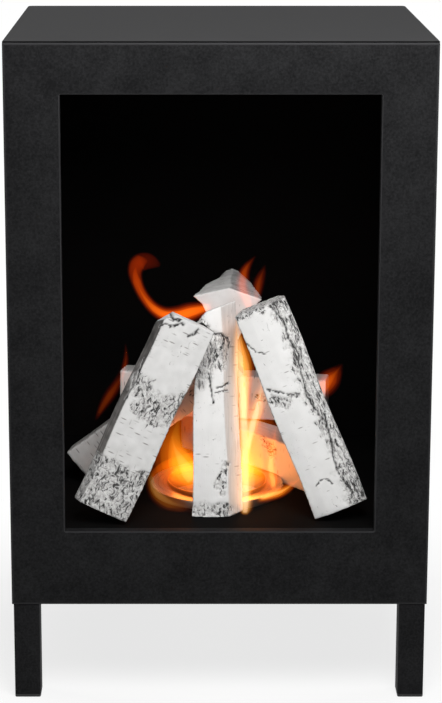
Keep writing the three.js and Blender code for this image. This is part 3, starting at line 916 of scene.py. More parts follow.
@dataclass
class Burner:
    """The spun burner ring, the cup under it and the wool inside, with heights from the hearth plate up."""

    gap: float = 0.3
    ring_radius: float = 67.0
    ring_height: float = 8.0
    sheet: float = 1.5
    edge: float = 1.0
    mouth_radius: float = 49.0
    lip: float = 2.5
    cup_radius: float = 58.0
    cup_depth: float = 58.0
    cup_wall: float = 1.2
    cup_rim: float = 5.0
    cup_corner: float = 8.0
    wool_height: float = 46.0
    around: int = 128
    wool: CeramicFibre = field(default_factory=CeramicFibre)

    def build(self) -> None:
        """Makes the burner's round pieces."""
        middle = burner_centre()
        steel = SpunStainless(centre=(middle.x / MM, middle.y / MM))
        self.turn(
            "burner_ring_spun", self.ring_profile(), steel, "burner_ring", "stainless_steel", closed=True
        )
        self.turn("burner_cup_spun", self.cup_profile(), steel, "burner_cup", "stainless_steel")
        self.turn("burner_wool_pad", self.wool_profile(), self.wool, "burner_wool", "mineral_wool")
        LOG.info("burner made")

    def bend(self, middle: Pair, radius: float, start: float, end: float) -> list[Pair]:
        """Points round a bend of a profile.

        Args:
            middle: The bend's centre, out and up.
            radius: Its radius.
            start: Its first angle in degrees.
            end: Its last angle in degrees.

        Returns:
            The points.
        """
        turns = [math.radians(start + (end - start) * i / 6) for i in range(7)]
        return [(middle[0] + radius * math.cos(t), middle[1] + radius * math.sin(t)) for t in turns]

    def ring_profile(self) -> list[Pair]:
        """The cover ring's section: a skirt, a flat top and a turned-up lip round the mouth.

        Returns:
            Its points, out and up.
        """
        top, inner = self.ring_height, self.ring_radius - self.sheet
        return [
            (self.ring_radius, self.gap),
            *self.bend((self.ring_radius - self.edge, top - self.edge), self.edge, 0, 90),
            (self.mouth_radius + self.sheet + 0.4, top), (self.mouth_radius + self.sheet, top + 0.4),
            *self.bend((self.mouth_radius + self.sheet / 2, top + self.lip), self.sheet / 2, 0, 180),
            (self.mouth_radius, top - self.sheet), (inner, top - self.sheet), (inner, self.gap),
        ]

    def cup_profile(self) -> list[Pair]:
        """The fuel cup's section: a flat floor, a drawn wall and a rim that hangs on the hearth.

        Returns:
            Its points, out and up.
        """
        floor, out, rim = -self.cup_depth, self.cup_radius, self.gap + self.cup_wall
        corner = (out - self.cup_corner, floor + self.cup_corner)
        return [
            (4.0, floor), *self.bend(corner, self.cup_corner, -90, 0), (out, self.gap),
            (out + self.cup_rim, self.gap), (out + self.cup_rim, rim), (out - self.cup_wall, rim),
            *self.bend(corner, self.cup_corner - self.cup_wall, 0, -90), (4.0, floor + self.cup_wall),
        ]

    def wool_profile(self) -> list[Pair]:
        """The wool's section: it fills the cup, with a soft shoulder and a sagging top.

        Returns:
            Its points, out and up.
        """
        floor, play = -self.cup_depth, self.cup_wall + self.gap
        out, top = self.cup_radius - play, floor + self.cup_wall + self.wool_height
        return [
            (4.0, floor + play),
            *self.bend(
                (self.cup_radius - self.cup_corner, floor + self.cup_corner), self.cup_corner - play, -90, 0
            ),
            *self.bend((out - 3.0, top - 3.0), 3.0, 0, 90), (out * 0.6, top - 0.5), (out * 0.3, top - 1.2),
            (4.0, top - 1.4),
        ]

    def turn(
        self, name: str, profile: list[Pair], finish: Finish, node: str, slot: str, closed: bool = False
    ) -> None:
        """Turns a profile round the burner's axis.

        Args:
            name: The piece's name.
            profile: Points out from the axis and up from the hearth.
            finish: The piece's finish.
            node: The name of the CAD piece that it stands for.
            slot: That piece's material slot; not used.
            closed: Whether the profile's end joins its start; otherwise both ends are capped.
        """
        mesh = bmesh.new()
        loft(mesh, turned(burner_centre(), profile, self.around), closed)
        stand_in(new_piece(name, mesh), finish, node)


# ---- Logs ----


class Mark(Enum):
    """What a stroke on the bark leaves behind."""

    BURST = "burst"
    STREAK = "streak"
    CRACK = "crack"


BURST, STREAK, CRACK = Mark


@dataclass(frozen=True)
class Stroke:
    """A mark painted along a line on the bark, in millimetres across and along the log."""

    mark: Mark
    points: tuple[Pair, ...]
    reach: float

    def strength(self, across: np.ndarray, along: np.ndarray, edge: np.ndarray) -> np.ndarray:
        """How strongly the mark shows at each place.

        Args:
            across: Places across the log.
            along: Places along the log.
            edge: A wandering of the mark's edge, about -1 to 1.

        Returns:
            0 outside the mark to 1 inside it.
        """
        nearest = np.full(across.shape, 1e9)
        ends = self.points[1:] or self.points
        for (x0, y0), (x1, y1) in zip(self.points, ends):
            dx, dy = x1 - x0, y1 - y0
            length = dx * dx + dy * dy or 1.0
            t = np.clip(((across - x0) * dx + (along - y0) * dy) / length, 0, 1)
            nearest = np.minimum(nearest, np.hypot(across - x0 - t * dx, along - y0 - t * dy))
        if self.mark is CRACK:
            return np.clip(1.35 + 0.9 * edge - nearest / self.reach, 0, 1)
        return np.clip((self.reach * (1.2 + 0.5 * edge) - nearest) / (0.45 * self.reach), 0, 1)


@dataclass(frozen=True)
class LogPlan:
    """One ceramic log: where its bark lies, as in the CAD source, and the marks on it.

    foot and head are the middle of the bark at each end, measured from the burner's middle on the hearth.
    A cut takes off what lies beyond a flat, given by a point and a direction across, into and along the log.
    smoke is painted shade on the split faces, painted is how far the bark's white covers them, and a
    white head is all bark. A flame_lit_foot end is all bark too, white as painted light from the flames.
    dimming darkens every face, and right_side_shade is painted shade on those that face right. wear is how
    rounded the arrises are.
    """

    node: str
    foot: Triple
    head: Triple
    face: Triple = (0, -1, 0)
    strokes: tuple[Stroke, ...] = ()
    cuts: tuple[tuple[Triple, Triple], ...] = ()
    white_head: bool = False
    # painted light: the foot end turned white as bark for the flames' light on the crown's front end
    flame_lit_foot: bool = False
    painted: float = 0.0
    # painted shade on the split faces
    smoke: float = 0.2
    soot: float = 0.0
    # painted shade on faces that face right
    right_side_shade: float = 0.0
    wear: int = 3
    body: str = "root"
    grain: float = 1.1
    seed: float = 0.0


LOG_PLANS = (
    LogPlan(
        node="log_front_left", foot=(-111, -111, 13), head=(-26, -77, 194), body="log_front_left_body",
        seed=3.0, white_head=True, smoke=0.6, soot=0.2, cuts=(((-21, 0, 199), (-0.75, 0, 0.66)),),
        strokes=(
            Stroke(CRACK, ((-27, 195), (-22, 201), (-17, 198), (-11, 201)), 1.0),
            Stroke(CRACK, ((-26, 186), (-22, 191), (-16, 191), (-9, 198), (-5, 197)), 0.9),
            Stroke(CRACK, ((3, 189), (5, 192)), 1.3), Stroke(CRACK, ((7, 194), (9, 199)), 1.2),
            Stroke(CRACK, ((-27, 152), (-25, 130), (-27, 108)), 0.7),
            Stroke(BURST, ((-19, 128), (-6, 118), (8, 117), (23, 126)), 10.0),
            Stroke(BURST, ((-12, 108), (4, 104), (18, 110)), 9.0),
            Stroke(BURST, ((-23, 43), (-8, 44), (8, 38), (23, 46)), 8.0),
            Stroke(BURST, ((-20, 26), (20, 26)), 15.0), Stroke(BURST, ((-18, 6), (18, 6)), 14.0),
        ),
    ),
    LogPlan(
        node="log_front_right", foot=(119, -99, 12), head=(39.5, -72, 208), body="log_front_right_body",
        seed=11.0, white_head=True, smoke=0.5, soot=0.04,
        strokes=(
            Stroke(BURST, ((-22, 214), (-7, 215), (10, 213), (27, 210)), 7.0),
            Stroke(
                STREAK,
                (
                    (25, 208), (23, 183), (21, 156), (19, 135), (18, 114), (20, 88), (23, 65), (25, 40),
                    (25, 12),
                ),
                12.0,
            ),
            Stroke(STREAK, ((14, 205), (19, 186)), 7.0),
            Stroke(CRACK, ((10, 210), (17, 192), (15, 174), (18, 158), (14, 140), (11, 120)), 1.0),
            Stroke(CRACK, ((11, 120), (13, 102), (18, 86), (17, 70), (12, 52), (11, 36), (15, 18)), 1.0),
            Stroke(BURST, ((22, 32), (20, 8)), 13.0),
            Stroke(CRACK, ((-24, 136), (-12, 129), (-2, 122), (5, 121)), 0.8),
            Stroke(BURST, ((-20, 124), (-10, 116)), 6.0), Stroke(BURST, ((-4, 122), (4, 120)), 3.0),
            Stroke(CRACK, ((-14, 31), (-7, 35), (-2, 34), (2, 28)), 0.6),
            Stroke(CRACK, ((-25, 184), (-20, 174), (-12, 169)), 0.6),
        ),
    ),
    LogPlan(
        node="log_front_centre", foot=(-4, -86, 0), head=(-4.5, -40, 198), seed=7.0, white_head=True,
        painted=0.6, smoke=0.0,
        cuts=(((15.5, 0, 0), (0.776, -0.63, 0.027)), ((-11, 0, 196), (-0.746, 0, 0.666))),
        strokes=(
            Stroke(CRACK, ((-12, 188), (-3, 181), (2, 178), (8, 179), (14, 174)), 1.2),
            Stroke(BURST, ((-14, 192), (-7, 186)), 4.5),
            Stroke(STREAK, ((8, 168), (-4, 156), (-14, 136)), 10.0),
            Stroke(STREAK, ((-2, 172), (-14, 156)), 9.0), Stroke(BURST, ((8, 172), (9, 150)), 6.0),
            Stroke(CRACK, ((-5, 140), (-2, 122), (0, 110)), 1.0),
            Stroke(CRACK, ((3, 126), (9, 128), (15, 131)), 0.8), Stroke(CRACK, ((2, 121), (14, 124)), 0.6),
            Stroke(BURST, ((12, 52), (9, 42), (3, 30)), 3.6), Stroke(BURST, ((8, 22), (11, 40)), 2.4),
            Stroke(BURST, ((-18, 7), (12, 7)), 7.0),
        ),
    ),
    LogPlan(
        node="log_left_leaning", foot=(-140, 18, 16), head=(13, -14, 141), grain=1.5, seed=19.0, smoke=0.35,
        soot=0.2, strokes=(Stroke(BURST, ((6, 150), (8, 175)), 6.0),),
    ),
    LogPlan(
        node="log_rear_lower", foot=(-37, 138, 22.5), head=(95, -19, 22.5), face=(-0.77, -0.64, 0), grain=1.5,
        seed=23.0, painted=0.5, strokes=(Stroke(BURST, ((-17, 134), (-9, 145)), 8.0),),
    ),
    LogPlan(
        node="log_rear_cross", foot=(-102, 118, 67.5), head=(115, 86, 67.5), face=(-0.15, -1, 0), grain=1.5,
        seed=29.0, painted=0.6,
        strokes=(Stroke(BURST, ((0, 150), (2, 165)), 6.0), Stroke(BURST, ((18, 10), (18, 60)), 6.0)),
    ),
    LogPlan(
        node="log_crown", foot=(11.5, -5, 203), head=(16, 70, 206), face=(0, 0, 1), body="log_crown_body",
        grain=0.9, seed=31.0, smoke=0.1, soot=0.34, right_side_shade=0.9, wear=1, flame_lit_foot=True,
        strokes=(
            Stroke(CRACK, ((3, 13), (16, 9), (30, 7)), 0.6),
            Stroke(CRACK, ((3, 24), (18, 19), (33, 15)), 0.5),
            Stroke(CRACK, ((6, 36), (20, 30), (30, 27)), 0.5),
        ),
        cuts=(((0, -8, 0), (-0.24, -0.971, 0)), ((0, -8, 0), (0.33, -0.944, 0))),
    ),
)


@dataclass
class LogStack:
    """The seven ceramic logs, remade with rounded arrises, bark relief and painted marks."""

    finish: BirchCeramic = field(default_factory=BirchCeramic)
    wander: float = 7.0
    burst_depth: float = 1.1
    skin_depth: float = 0.35

    def build(self) -> None:
        """Makes every log."""
        for plan in LOG_PLANS:
            piece = self.build_log(plan)
            LOG.info("log %s has %d faces", plan.node, len(piece.data.polygons))

    def build_log(self, plan: LogPlan) -> bpy.types.Object:
        """Makes one log in the place of its plain solid.

        Args:
            plan: The log's plan.

        Returns:
            The piece.
        """
        piece = self.remeshed(plan)
        mesh = piece.data
        count = len(mesh.vertices)
        points, normals = np.empty((count, 3)), np.empty((count, 3))
        mesh.vertices.foreach_get("co", points.ravel())
        mesh.vertices.foreach_get("normal", normals.ravel())

        place, faces = self.log_places(plan, points, normals)
        edge = self.noise_at(place, self.wander, plan.seed)
        fine = self.noise_at(place, 2.6, plan.seed + 40)
        shake = self.noise_at(place, 4.5, plan.seed + 80)
        across, along = place[:, 0] + 1.5 * shake, place[:, 2] + 1.5 * fine
        amounts = {mark: np.zeros(count) for mark in Mark}
        for stroke in plan.strokes:
            found = stroke.strength(across, along, fine if stroke.mark is CRACK else edge)
            amounts[stroke.mark] = np.maximum(amounts[stroke.mark], found * faces["near_bark"])

        flakes = self.noise_at(place, 3.4, plan.seed + 120)
        torn = np.maximum(amounts[BURST], amounts[STREAK])
        sunk = self.burst_depth * torn * (0.35 + 0.9 * np.abs(flakes))
        sunk += self.skin_depth * (0.5 + 0.5 * edge) + 0.9 * amounts[CRACK]
        points -= normals * (sunk * MM)[:, None]
        mesh.vertices.foreach_set("co", points.ravel())

        covered = np.maximum(torn, amounts[CRACK])
        painted = plan.painted * (1 - faces["end"])
        rise = np.clip(place[:, 2] / 200, 0, 1)
        # the log's dimming plus painted shade on faces that face right, both weaker on the ends
        soot = (plan.soot * (1 + 0.4 * edge) + plan.right_side_shade * faces["right"]) * (1 - 0.8 * faces["end"])
        values = {
            "log_place": place + np.array([0, plan.seed * 10, plan.seed * 10]),
            "bark": np.maximum(np.maximum(faces["bark"], np.clip(1.5 * covered, 0, 1)), painted),
            # painted shade on the split faces, uneven and deeper towards the log's head
            "end": faces["end"], "smoke": np.clip(plan.smoke * (0.6 + 0.5 * edge + 0.8 * rise), 0, 1),
            "soot": np.clip(soot, 0, 0.75), **{mark.value: amount for mark, amount in amounts.items()},
        }
        keep_values(mesh, values)
        mesh.update()
        stand_in(piece, self.finish, plan.node, plan.body)
        return piece

    def remeshed(self, plan: LogPlan) -> bpy.types.Object:
        """Copies the plain solid into an even mesh with rounded arrises.

        Args:
            plan: The log's plan.

        Returns:
            The new object.
        """
        mesh = plain_copy(plan.node)
        foot, axes = self.log_axes(plan)
        for point, direction in plan.cuts:
            slice_off(mesh, foot + Vector(np.array(point) @ axes) * MM, Vector(np.array(direction) @ axes))
        piece = new_piece(f"{plan.node}_cast", mesh)
        even = piece.modifiers.new("even", "REMESH")
        even.mode = "VOXEL"
        even.voxel_size = plan.grain * MM
        even.use_smooth_shade = True
        worn = piece.modifiers.new("worn", "SMOOTH")
        worn.factor = 0.6
        worn.iterations = plan.wear
        evaluated = piece.evaluated_get(bpy.context.evaluated_depsgraph_get())
        final = bpy.data.meshes.new_from_object(evaluated)
        piece.modifiers.clear()
        piece.data = final
        final.materials.clear()
        final.shade_smooth()
        return piece

    def log_axes(self, plan: LogPlan) -> tuple[Vector, np.ndarray]:
        """The log's own axes.

        Args:
            plan: The log's plan.

        Returns:
            The middle of the bark at its foot, in metres, and the directions across, into and along the log.
        """
        origin = burner_centre()
        foot = origin + Vector(plan.foot) * MM
        along = (origin + Vector(plan.head) * MM - foot).normalized()
        inwards = -Vector(plan.face)
        inwards = (inwards - along * inwards.dot(along)).normalized()
        return foot, np.array([inwards.cross(along), inwards, along])

    def log_places(
        self, plan: LogPlan, points: np.ndarray, normals: np.ndarray
    ) -> tuple[np.ndarray, dict[str, np.ndarray]]:
        """Places in the log's own axes, and which of them lie on bark.

        Args:
            plan: The log's plan.
            points: The vertices, in metres.
            normals: Their normals.

        Returns:
            Places as millimetres across, into and along the log, and from 0 to 1 how much each vertex lies on
            bark, on bark or just round its edge, on an end, and how much it faces right.
        """
        foot, axes = self.log_axes(plan)
        place = (points - np.array(foot)) @ axes.T / MM
        facing = -(normals @ axes[1])
        heading = normals @ axes[2]
        bark = np.clip((facing - 0.55) / 0.25, 0, 1)
        near = np.clip((facing + 0.15) / 0.3, 0, 1)
        end = np.clip((np.abs(heading) - 0.6) / 0.2, 0, 1)
        # the head end's white is bark; the foot end's white is painted light from the flames
        for white, towards in ((plan.white_head, heading), (plan.flame_lit_foot, -heading)):
            if white:
                head = np.clip((towards - 0.45) / 0.2, 0, 1)
                bark, near = np.maximum(bark, head), np.maximum(near, head)
        right = np.clip(normals @ axes[0], 0, 1)
        return place, {"bark": bark, "near_bark": near, "end": end, "right": right}

    def noise_at(self, place: np.ndarray, size: float, seed: float) -> np.ndarray:
        """Smooth noise of about -1 to 1 at each place.

        Args:
            place: Places in millimetres.
            size: The noise's size in millimetres.
            seed: Moves the noise, so that no two uses are alike.

        Returns:
            The noise.
        """
        moved = place / size + np.array([seed, 0.37 * seed, 0.61 * seed])
        return np.array([noise.noise(Vector(p)) for p in moved])


# ---- Fire ----


class Heat(Enum):
    """A flame's layers from its edge inwards: each one's share of the width, colour and brightness."""

    FAINT = ((1.7, "FF3C02", 0.03), (1.35, "FF4A04", 0.05), (1.05, "FF560A", 0.08), (0.75, "FF7014", 0.12))
    ORANGE = ((1.6, "FF4002", 0.05), (1.3, "FF4E04", 0.12), (1.0, "FF5E08", 0.24), (0.7, "FF7A14", 0.36))
    YELLOW = ((1.6, "FF5406", 0.06), (1.25, "FF740E", 0.15), (0.95, "FF961E", 0.26), (0.6, "FFC268", 0.36))
    WHITE = ((1.6, "FF8414", 0.06), (1.25, "FF9C30", 0.15), (0.95, "FFBC68", 0.26), (0.6, "FFE0B0", 0.34))
    BODY = ((1.3, "FF5A06", 0.08), (1.05, "FF6A0A", 0.2), (0.8, "FF8414", 0.28), (0.52, "FFB028", 0.3))


@dataclass(frozen=True)
class FlamePlan:
    """One tongue of flame: points up its middle with its half width at each, in millimetres, and its level.

    Each inner layer stops fade steps short of the one round it, so that the flame dims towards its tip.
    """

    name: str
    heat: Heat
    points: tuple[tuple[float, float, float, float], ...]
    level: float = 1.0
    fade: int = 1


FLAME_PLANS = (
    FlamePlan(
        "curl", Heat.ORANGE,
        (
            (-6, -42, 361, 3), (-16, -42, 359, 5), (-28, -43, 356, 6.6), (-40, -44, 353, 6.6),
            (-52, -46, 354, 5.6), (-62, -46, 359, 4.6), (-70, -46, 367, 4), (-77, -46, 378, 3.8),
            (-81.5, -46, 390, 4.2), (-82.5, -46, 399, 5), (-79.5, -46, 406, 5.8), (-72, -46, 408.5, 5.6),
            (-64.5, -46, 407, 4), (-58, -46, 404, 1),
        ),
        level=1.6, fade=9,
    ),
    FlamePlan(
        "crown_tongue", Heat.FAINT,
        (
            (36, -50, 352, 2), (31, -50, 362, 3.6), (27, -50, 373, 4.6), (23.6, -50, 384, 5),
            (24.6, -50, 396, 4), (28, -50, 404, 2.8), (32, -50, 409.5, 1.6), (36.5, -50, 415, 0.5),
        ),
        level=1.5,
    ),
    FlamePlan(
        "crown_wisp", Heat.FAINT,
        (
            (37, -50, 364, 2), (38, -50, 378, 3.4), (40, -50, 389, 3.6), (43.6, -50, 399, 2.2),
            (46, -50, 406, 0.5),
        ),
        level=0.7,
    ),
    FlamePlan(
        "left_wisp", Heat.FAINT,
        ((-99, -30, 276, 1.2), (-95, -30, 292, 2), (-92.7, -30, 305, 1.8), (-93, -30, 320, 0.5)), level=0.6,
    ),
    FlamePlan(
        "left_streak", Heat.FAINT,
        (
            (-124, -30, 240, 0.8), (-117, -30, 254, 3), (-109, -30, 267, 4), (-102, -30, 278, 3.6),
            (-97, -30, 290, 2.2), (-94.5, -30, 304, 0.6),
        ),
        level=0.4,
    ),
    FlamePlan(
        "right_tongue", Heat.ORANGE,
        (
            (88, -40, 258, 3), (98, -40, 270, 6), (106, -40, 279, 8), (113, -40, 287, 7.4),
            (119, -40, 294.5, 4.4), (124.5, -40, 302, 0.6),
        ),
        level=0.85,
    ),
    FlamePlan(
        "rim_left", Heat.YELLOW,
        (
            (-67, -62, 200, 2), (-66, -78, 190, 4.6), (-60, -92, 183, 6.4), (-49, -102, 178.5, 7),
            (-36, -107, 176, 6.4), (-26, -108, 174.5, 4),
        ),
        level=0.3,
    ),
    FlamePlan(
        "front_sheet", Heat.WHITE,
        (
            (25.5, -119, 170.5, 1.5), (25.5, -119, 176, 5), (25.5, -116, 186, 6.6), (25.5, -112, 201, 6.6),
            (25.5, -106, 220, 6.2), (25, -100, 239, 5.8), (24.5, -94, 258, 6.4), (23.5, -88, 280, 6.4),
            (22, -82, 298, 6), (20.5, -76, 318, 5.4), (19, -70, 336, 4.2), (17.5, -64, 352, 2.2),
            (17, -58, 366, 0.6),
        ),
        level=1.5,
    ),
    FlamePlan(
        "right_base", Heat.WHITE,
        ((29, -72, 175, 2), (31, -72, 182, 8), (33, -72, 192, 10), (34, -72, 204, 7), (34, -72, 220, 1)),
        level=0.55,
    ),
    FlamePlan(
        "gap_tongue", Heat.YELLOW,
        (
            (24, -40, 236, 3), (26, -40, 253, 4.4), (27, -40, 271, 5.4), (28, -40, 288, 6.6),
            (27, -40, 301, 7), (25, -40, 315, 6), (21, -40, 332, 3), (18, -40, 345, 0.6),
        ),
        level=1.1,
    ),
    FlamePlan(
        "right_streak", Heat.WHITE,
        (
            (30, -56, 208, 1.5), (31, -57, 226, 4), (34.5, -58, 245, 5.6), (39, -60, 262, 6.4),
            (42, -60, 278, 5.4), (43, -60, 298, 0.6),
        ),
        level=1.4,
    ),
    FlamePlan(
        "right_low", Heat.YELLOW,
        (
            (56, -78, 180, 1.6), (54, -80, 192, 4.2), (52, -80, 207, 4.4), (53, -76, 223, 4.6),
            (56, -72, 238, 3.6), (58, -68, 254, 0.5),
        ),
    ),
    FlamePlan(
        "right_body", Heat.BODY,
        ((30, -44, 176, 20), (34, -44, 200, 25), (38, -42, 226, 21), (41, -40, 250, 13), (40, -38, 272, 1)),
        level=1.15,
    ),
    FlamePlan(
        "right_core", Heat.YELLOW,
        ((26, -50, 178, 10), (29, -50, 196, 13), (33, -50, 218, 9), (35, -48, 240, 4), (34, -48, 258, 0.6)),
        level=0.7,
    ),
    FlamePlan(
        "left_body", Heat.BODY,
        (
            (-30, -44, 176, 20), (-38, -44, 200, 25), (-43, -44, 222, 19), (-40, -42, 244, 10),
            (-34, -40, 268, 1),
        ),
        level=1.1,
    ),
    FlamePlan(
        "left_core", Heat.YELLOW,
        (
            (-20, -52, 178, 9), (-29, -52, 191, 13), (-38, -50, 206, 11), (-45, -48, 221, 5.5),
            (-46, -46, 240, 0.8),
        ),
        level=1.15,
    ),
    FlamePlan(
        "left_back", Heat.FAINT,
        (
            (-20, -20, 214, 9), (-26, -20, 236, 13), (-30, -20, 258, 11), (-30, -20, 276, 6),
            (-28, -20, 292, 0.8),
        ),
    ),
    FlamePlan(
        "middle_body", Heat.ORANGE,
        ((-4, -26, 174, 14), (-2, -26, 205, 16), (2, -28, 240, 12), (6, -30, 290, 1.5)),
    ),
    FlamePlan(
        "low_right", Heat.YELLOW,
        (
            (34, -92, 176, 2.5), (48, -86, 179, 4.2), (62, -76, 180, 4.2), (74, -66, 184, 3),
            (84, -60, 190, 0.5),
        ),
        level=1.4,
    ),
)


@dataclass
class Fire:
    """The flames and their glow. They are lit gas, not pieces, so like the studio they hang on no body."""

    depth_share: float = 0.7
    around: int = 14
    bed_radius: float = 65.0
    bed_height: float = 21.0
    bed_level: float = 0.45
    bed_around: int = 40
    lamp_size: float = 14.0

    def build(self) -> None:
        """Makes every flame, the glow over the burner's mouth and its light."""
        for plan in FLAME_PLANS:
            widest = max(point[3] for point in plan.points)
            for number, (share, colour, level) in enumerate(plan.heat.value):
                tube = self.build_tongue(f"flame_{plan.name}_{number}", plan, share, number)
                self.light_up(tube, colour, plan.level * level / (2 * self.depth_share * share * widest * MM))
        self.build_bed()
        self.build_glow_lamp("glow_left", (-34, -46, 196), 0.02)
        self.build_glow_lamp("glow_right", (34, -52, 206), 0.04)
        self.build_glow_lamp("glow_top", (22, -84, 352), 0.006)
        LOG.info("fire lit with %d flames", len(FLAME_PLANS))

    def build_tongue(self, name: str, plan: FlamePlan, share: float, trim: int) -> bpy.types.Object:
        """Makes one layer of a flame, a tapered tube along a smooth line.

        No two layers end at the same place, because a ray can miss one of two faces that lie together.

        Args:
            name: The object's name.
            plan: The flame's plan.
            share: This layer's share of the flame's width.
            trim: How many layers lie round this one.

        Returns:
            The object.
        """
        path = self.smooth_line(plan.points)
        path = path[trim : len(path) - trim * plan.fade]
        loops = []
        turns = [math.tau * step / self.around for step in range(self.around)]
        for i, (middle, width) in enumerate(path):
            ahead = path[min(i + 1, len(path) - 1)][0] - path[max(i - 1, 0)][0]
            tangent = ahead.normalized()
            across = tangent.cross(Vector((0, 1, 0))).normalized()
            deep = across.cross(tangent).normalized()
            narrowing = min(1.0, (len(path) - i) / (4 * trim + 1))
            radius = max(width * share * narrowing, 0.4)
            wide, thick = across * radius, deep * radius * self.depth_share
            loops.append([(middle + wide * math.cos(t) + thick * math.sin(t)) * MM for t in turns])
        mesh = bmesh.new()
        loft(mesh, loops, closed=False)
        return new_piece(name, mesh, ALL_SMOOTH)

    def smooth_line(self, points: tuple, steps: int = 5) -> list[tuple[Vector, float]]:
        """Runs a smooth line through points.

        Args:
            points: Places with a half width each.
            steps: Steps between two points.

        Returns:
            Places and half widths along the line.
        """
        known = [points[0], *points, points[-1]]
        line = []
        for a, b, c, d in zip(known, known[1:], known[2:], known[3:]):
            for step in range(steps):
                t = step / steps
                value = []
                for p, q, r, s in zip(a, b, c, d):
                    square, cube = 2 * p - 5 * q + 4 * r - s, 3 * q - p - 3 * r + s
                    value.append(0.5 * (2 * q + (r - p) * t + square * t * t + cube * t**3))
                line.append((Vector(value[:3]), max(value[3], 0.05)))
        line.append((Vector(points[-1][:3]), points[-1][3]))
        return line

    def build_bed(self) -> None:
        """Makes the low dome of burning gas over the burner's mouth."""
        middle = burner_centre()
        middle.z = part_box("burner_ring")[1].z + 0.3 * MM
        profile = (
            (0.55, 0.0), (1.0, 0.04), (1.04, 0.2), (0.94, 0.45), (0.7, 0.75), (0.35, 0.95), (0.05, 1.0)
        )
        for number, (share, colour) in enumerate(((1.0, "FF6A08"), (0.72, "FFA21E"))):
            radius, height = share * self.bed_radius, share * self.bed_height
            section = [(out * radius, up * height + 0.6 * number) for out, up in profile]
            mesh = bmesh.new()
            loft(mesh, turned(middle, section, self.bed_around), closed=False)
            bed = new_piece(f"flame_bed_{number}", mesh, ALL_SMOOTH)
            self.light_up(bed, colour, self.bed_level / (2.2 * height * MM))

    def light_up(self, flame: bpy.types.Object, colour: str, density: float) -> None:
        """Fills a closed mesh with glowing gas that casts no shadow.

        Args:
            flame: The mesh object.
            colour: The gas's colour.
            density: Its brightness for each metre that is looked through.
        """
        red, green, blue, _ = linear(colour)
        flame.color = (red * density, green * density, blue * density, 1.0)
        made = bpy.data.materials.get("burning_ethanol_vapour")
        if not made:
            made = bpy.data.materials.new("burning_ethanol_vapour")
            add = blank_nodes(made)
            tint = add("ObjectInfo")
            gas = add("Emission", {"Strength": 1.0}, {"Color": tint.outputs["Color"]})
            add("OutputMaterial", links={"Volume": gas})
        flame.data.materials.append(made)
        flame.visible_shadow = False

    def build_glow_lamp(self, name: str, place: tuple, power: float) -> None:
        """Adds a small warm lamp inside the fire.

        Args:
            name: The lamp's name.
            place: Where it hangs, in millimetres.
            power: Its power in watts.
        """
        lamp = bpy.data.lights.new(name, "POINT")
        lamp.color = linear("FFA050")[:3]
        lamp.energy = power
        lamp.shadow_soft_size = self.lamp_size * MM
        holder = placed(name, lamp)
        holder.location = Vector(place) * MM
        holder.visible_camera = False


# ---- Studio ----


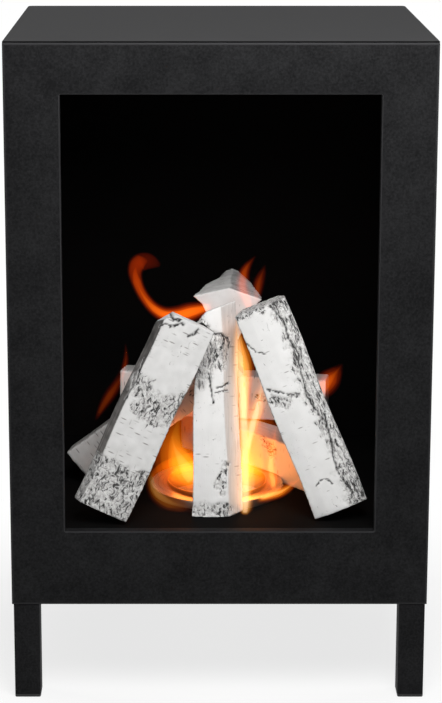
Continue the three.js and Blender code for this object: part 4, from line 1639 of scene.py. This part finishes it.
@dataclass
class Studio:
    """The pale floor, the soft light and the camera. None of it is part of the fireplace."""

    floor_colour: str = "F4F4F3"
    floor_glow: float = 0.72  # how white the floor under the fireplace is, so that its shadow stays soft
    floor_fade: Pair = (0.12, 0.5)  # metres
    floor_radius: float = 30.0  # metres
    ambient: float = 0.096
    focal: float = 109.28
    camera_place: Triple = (-28.3, -2105.2, 864.2)
    tilt: float = 11.88
    shift: Pair = (0.0441, -0.16)

    def build(self) -> None:
        """Makes the floor, world, lamps and camera."""
        self.build_floor()
        self.build_world()
        self.build_lamp("key", (120, -640, 1000), (0, -100, 330), 600, 9.6)
        self.build_lamp("fill", (-300, -1900, 800), (0, -100, 330), 1200, 2.7)
        self.build_lamp("overhead", (0, 100, 2300), (0, 0, 640), 1500, 4.1)
        self.build_lamp("left", (-1400, 300, 340), (-200, 0, 340), 560, 8.0)
        self.build_lamp("right", (1400, 300, 340), (200, 0, 340), 560, 8.0)
        self.build_lamp("rear", (200, 1500, 340), (0, 165, 340), 560, 8.0)
        self.build_camera()
        LOG.info("studio made")

    def build_floor(self) -> None:
        """Makes a wide pale floor that turns white away from the object, for the camera only."""
        mesh = bmesh.new()
        bmesh.ops.create_circle(mesh, cap_ends=True, radius=self.floor_radius, segments=96)
        floor = new_piece("floor", mesh)
        made = bpy.data.materials.new("floor_paper_matt")
        add = blank_nodes(made)
        place = add("TexCoord").outputs["Object"]
        distance = add("VectorMath", {"operation": "LENGTH"}, {0: place})
        fade = dict(zip(("From Min", "From Max"), self.floor_fade))
        far = add(
            "MapRange", {"interpolation_type": "SMOOTHSTEP", "To Min": self.floor_glow, **fade},
            {"Value": distance},
        )
        path = add("LightPath")
        looked_at = add("Math", {"operation": "MAXIMUM"},
            {0: path.outputs["Is Camera Ray"], 1: path.outputs["Is Glossy Ray"]},
        )
        seen = add("Math", {"operation": "MULTIPLY"}, {0: far, 1: looked_at})
        paper = add("BsdfDiffuse", {"Color": self.floor_colour})
        white = add("Emission", {"Strength": 1.0})
        mixed = add("MixShader", {}, {0: seen, 1: paper, 2: white})
        add("OutputMaterial", links={"Surface": mixed})
        floor.data.materials.append(made)

    def build_world(self) -> None:
        """Makes a dim even sky that the camera sees as white."""
        world = bpy.data.worlds.new("studio")
        add = blank_nodes(world)
        path = add("LightPath")
        seen = add("Math", {"operation": "MAXIMUM"},
            {0: path.outputs["Is Camera Ray"], 1: path.outputs["Is Transmission Ray"]},
        )
        clear = add("Math", {"operation": "MAXIMUM"}, {0: seen, 1: path.outputs["Is Glossy Ray"]})
        strength = add("MapRange", {"To Min": self.ambient, "To Max": 1.0}, {"Value": clear})
        sky = add("Background", {"Color": "FFFFFF"}, {"Strength": strength})
        add("OutputWorld", links={"Surface": sky})
        bpy.context.scene.world = world

    def build_lamp(self, name: str, place: tuple, target: tuple, size: float, power: float) -> None:
        """Adds a soft area lamp.

        Args:
            name: The lamp's name.
            place: Where it hangs, in millimetres.
            target: What it points at, in millimetres.
            size: Its width in millimetres.
            power: Its power in watts.
        """
        lamp = bpy.data.lights.new(name, "AREA")
        lamp.shape = "DISK"
        lamp.size = size * MM
        lamp.energy = power
        holder = placed(name, lamp)
        holder.location = Vector(place) * MM
        aim = (Vector(target) - Vector(place)).normalized()
        holder.rotation_euler = aim.to_track_quat("-Z", "Y").to_euler()
        holder.visible_camera = False

    def build_camera(self) -> None:
        """Places the camera at the photograph's viewing angle."""
        data = bpy.data.cameras.new("camera")
        data.lens = self.focal
        data.sensor_width = 36.0
        data.shift_x, data.shift_y = self.shift
        holder = placed("camera", data)
        holder.location = Vector(self.camera_place) * MM
        holder.rotation_euler = (math.radians(90 - self.tilt), 0.0, 0.0)
        bpy.context.scene.camera = holder
        bpy.context.scene.view_settings.view_transform = "Standard"


def main() -> None:
    """Builds the visual model round the frame, then the studio."""
    logging.basicConfig(level=logging.INFO, format="%(name)s: %(message)s")
    Casing().build()
    Legs().build()
    Fasteners().build()
    Burner().build()
    LogStack().build()
    Fire().build()
    Studio().build()


if __name__ == "__main__":
    main()
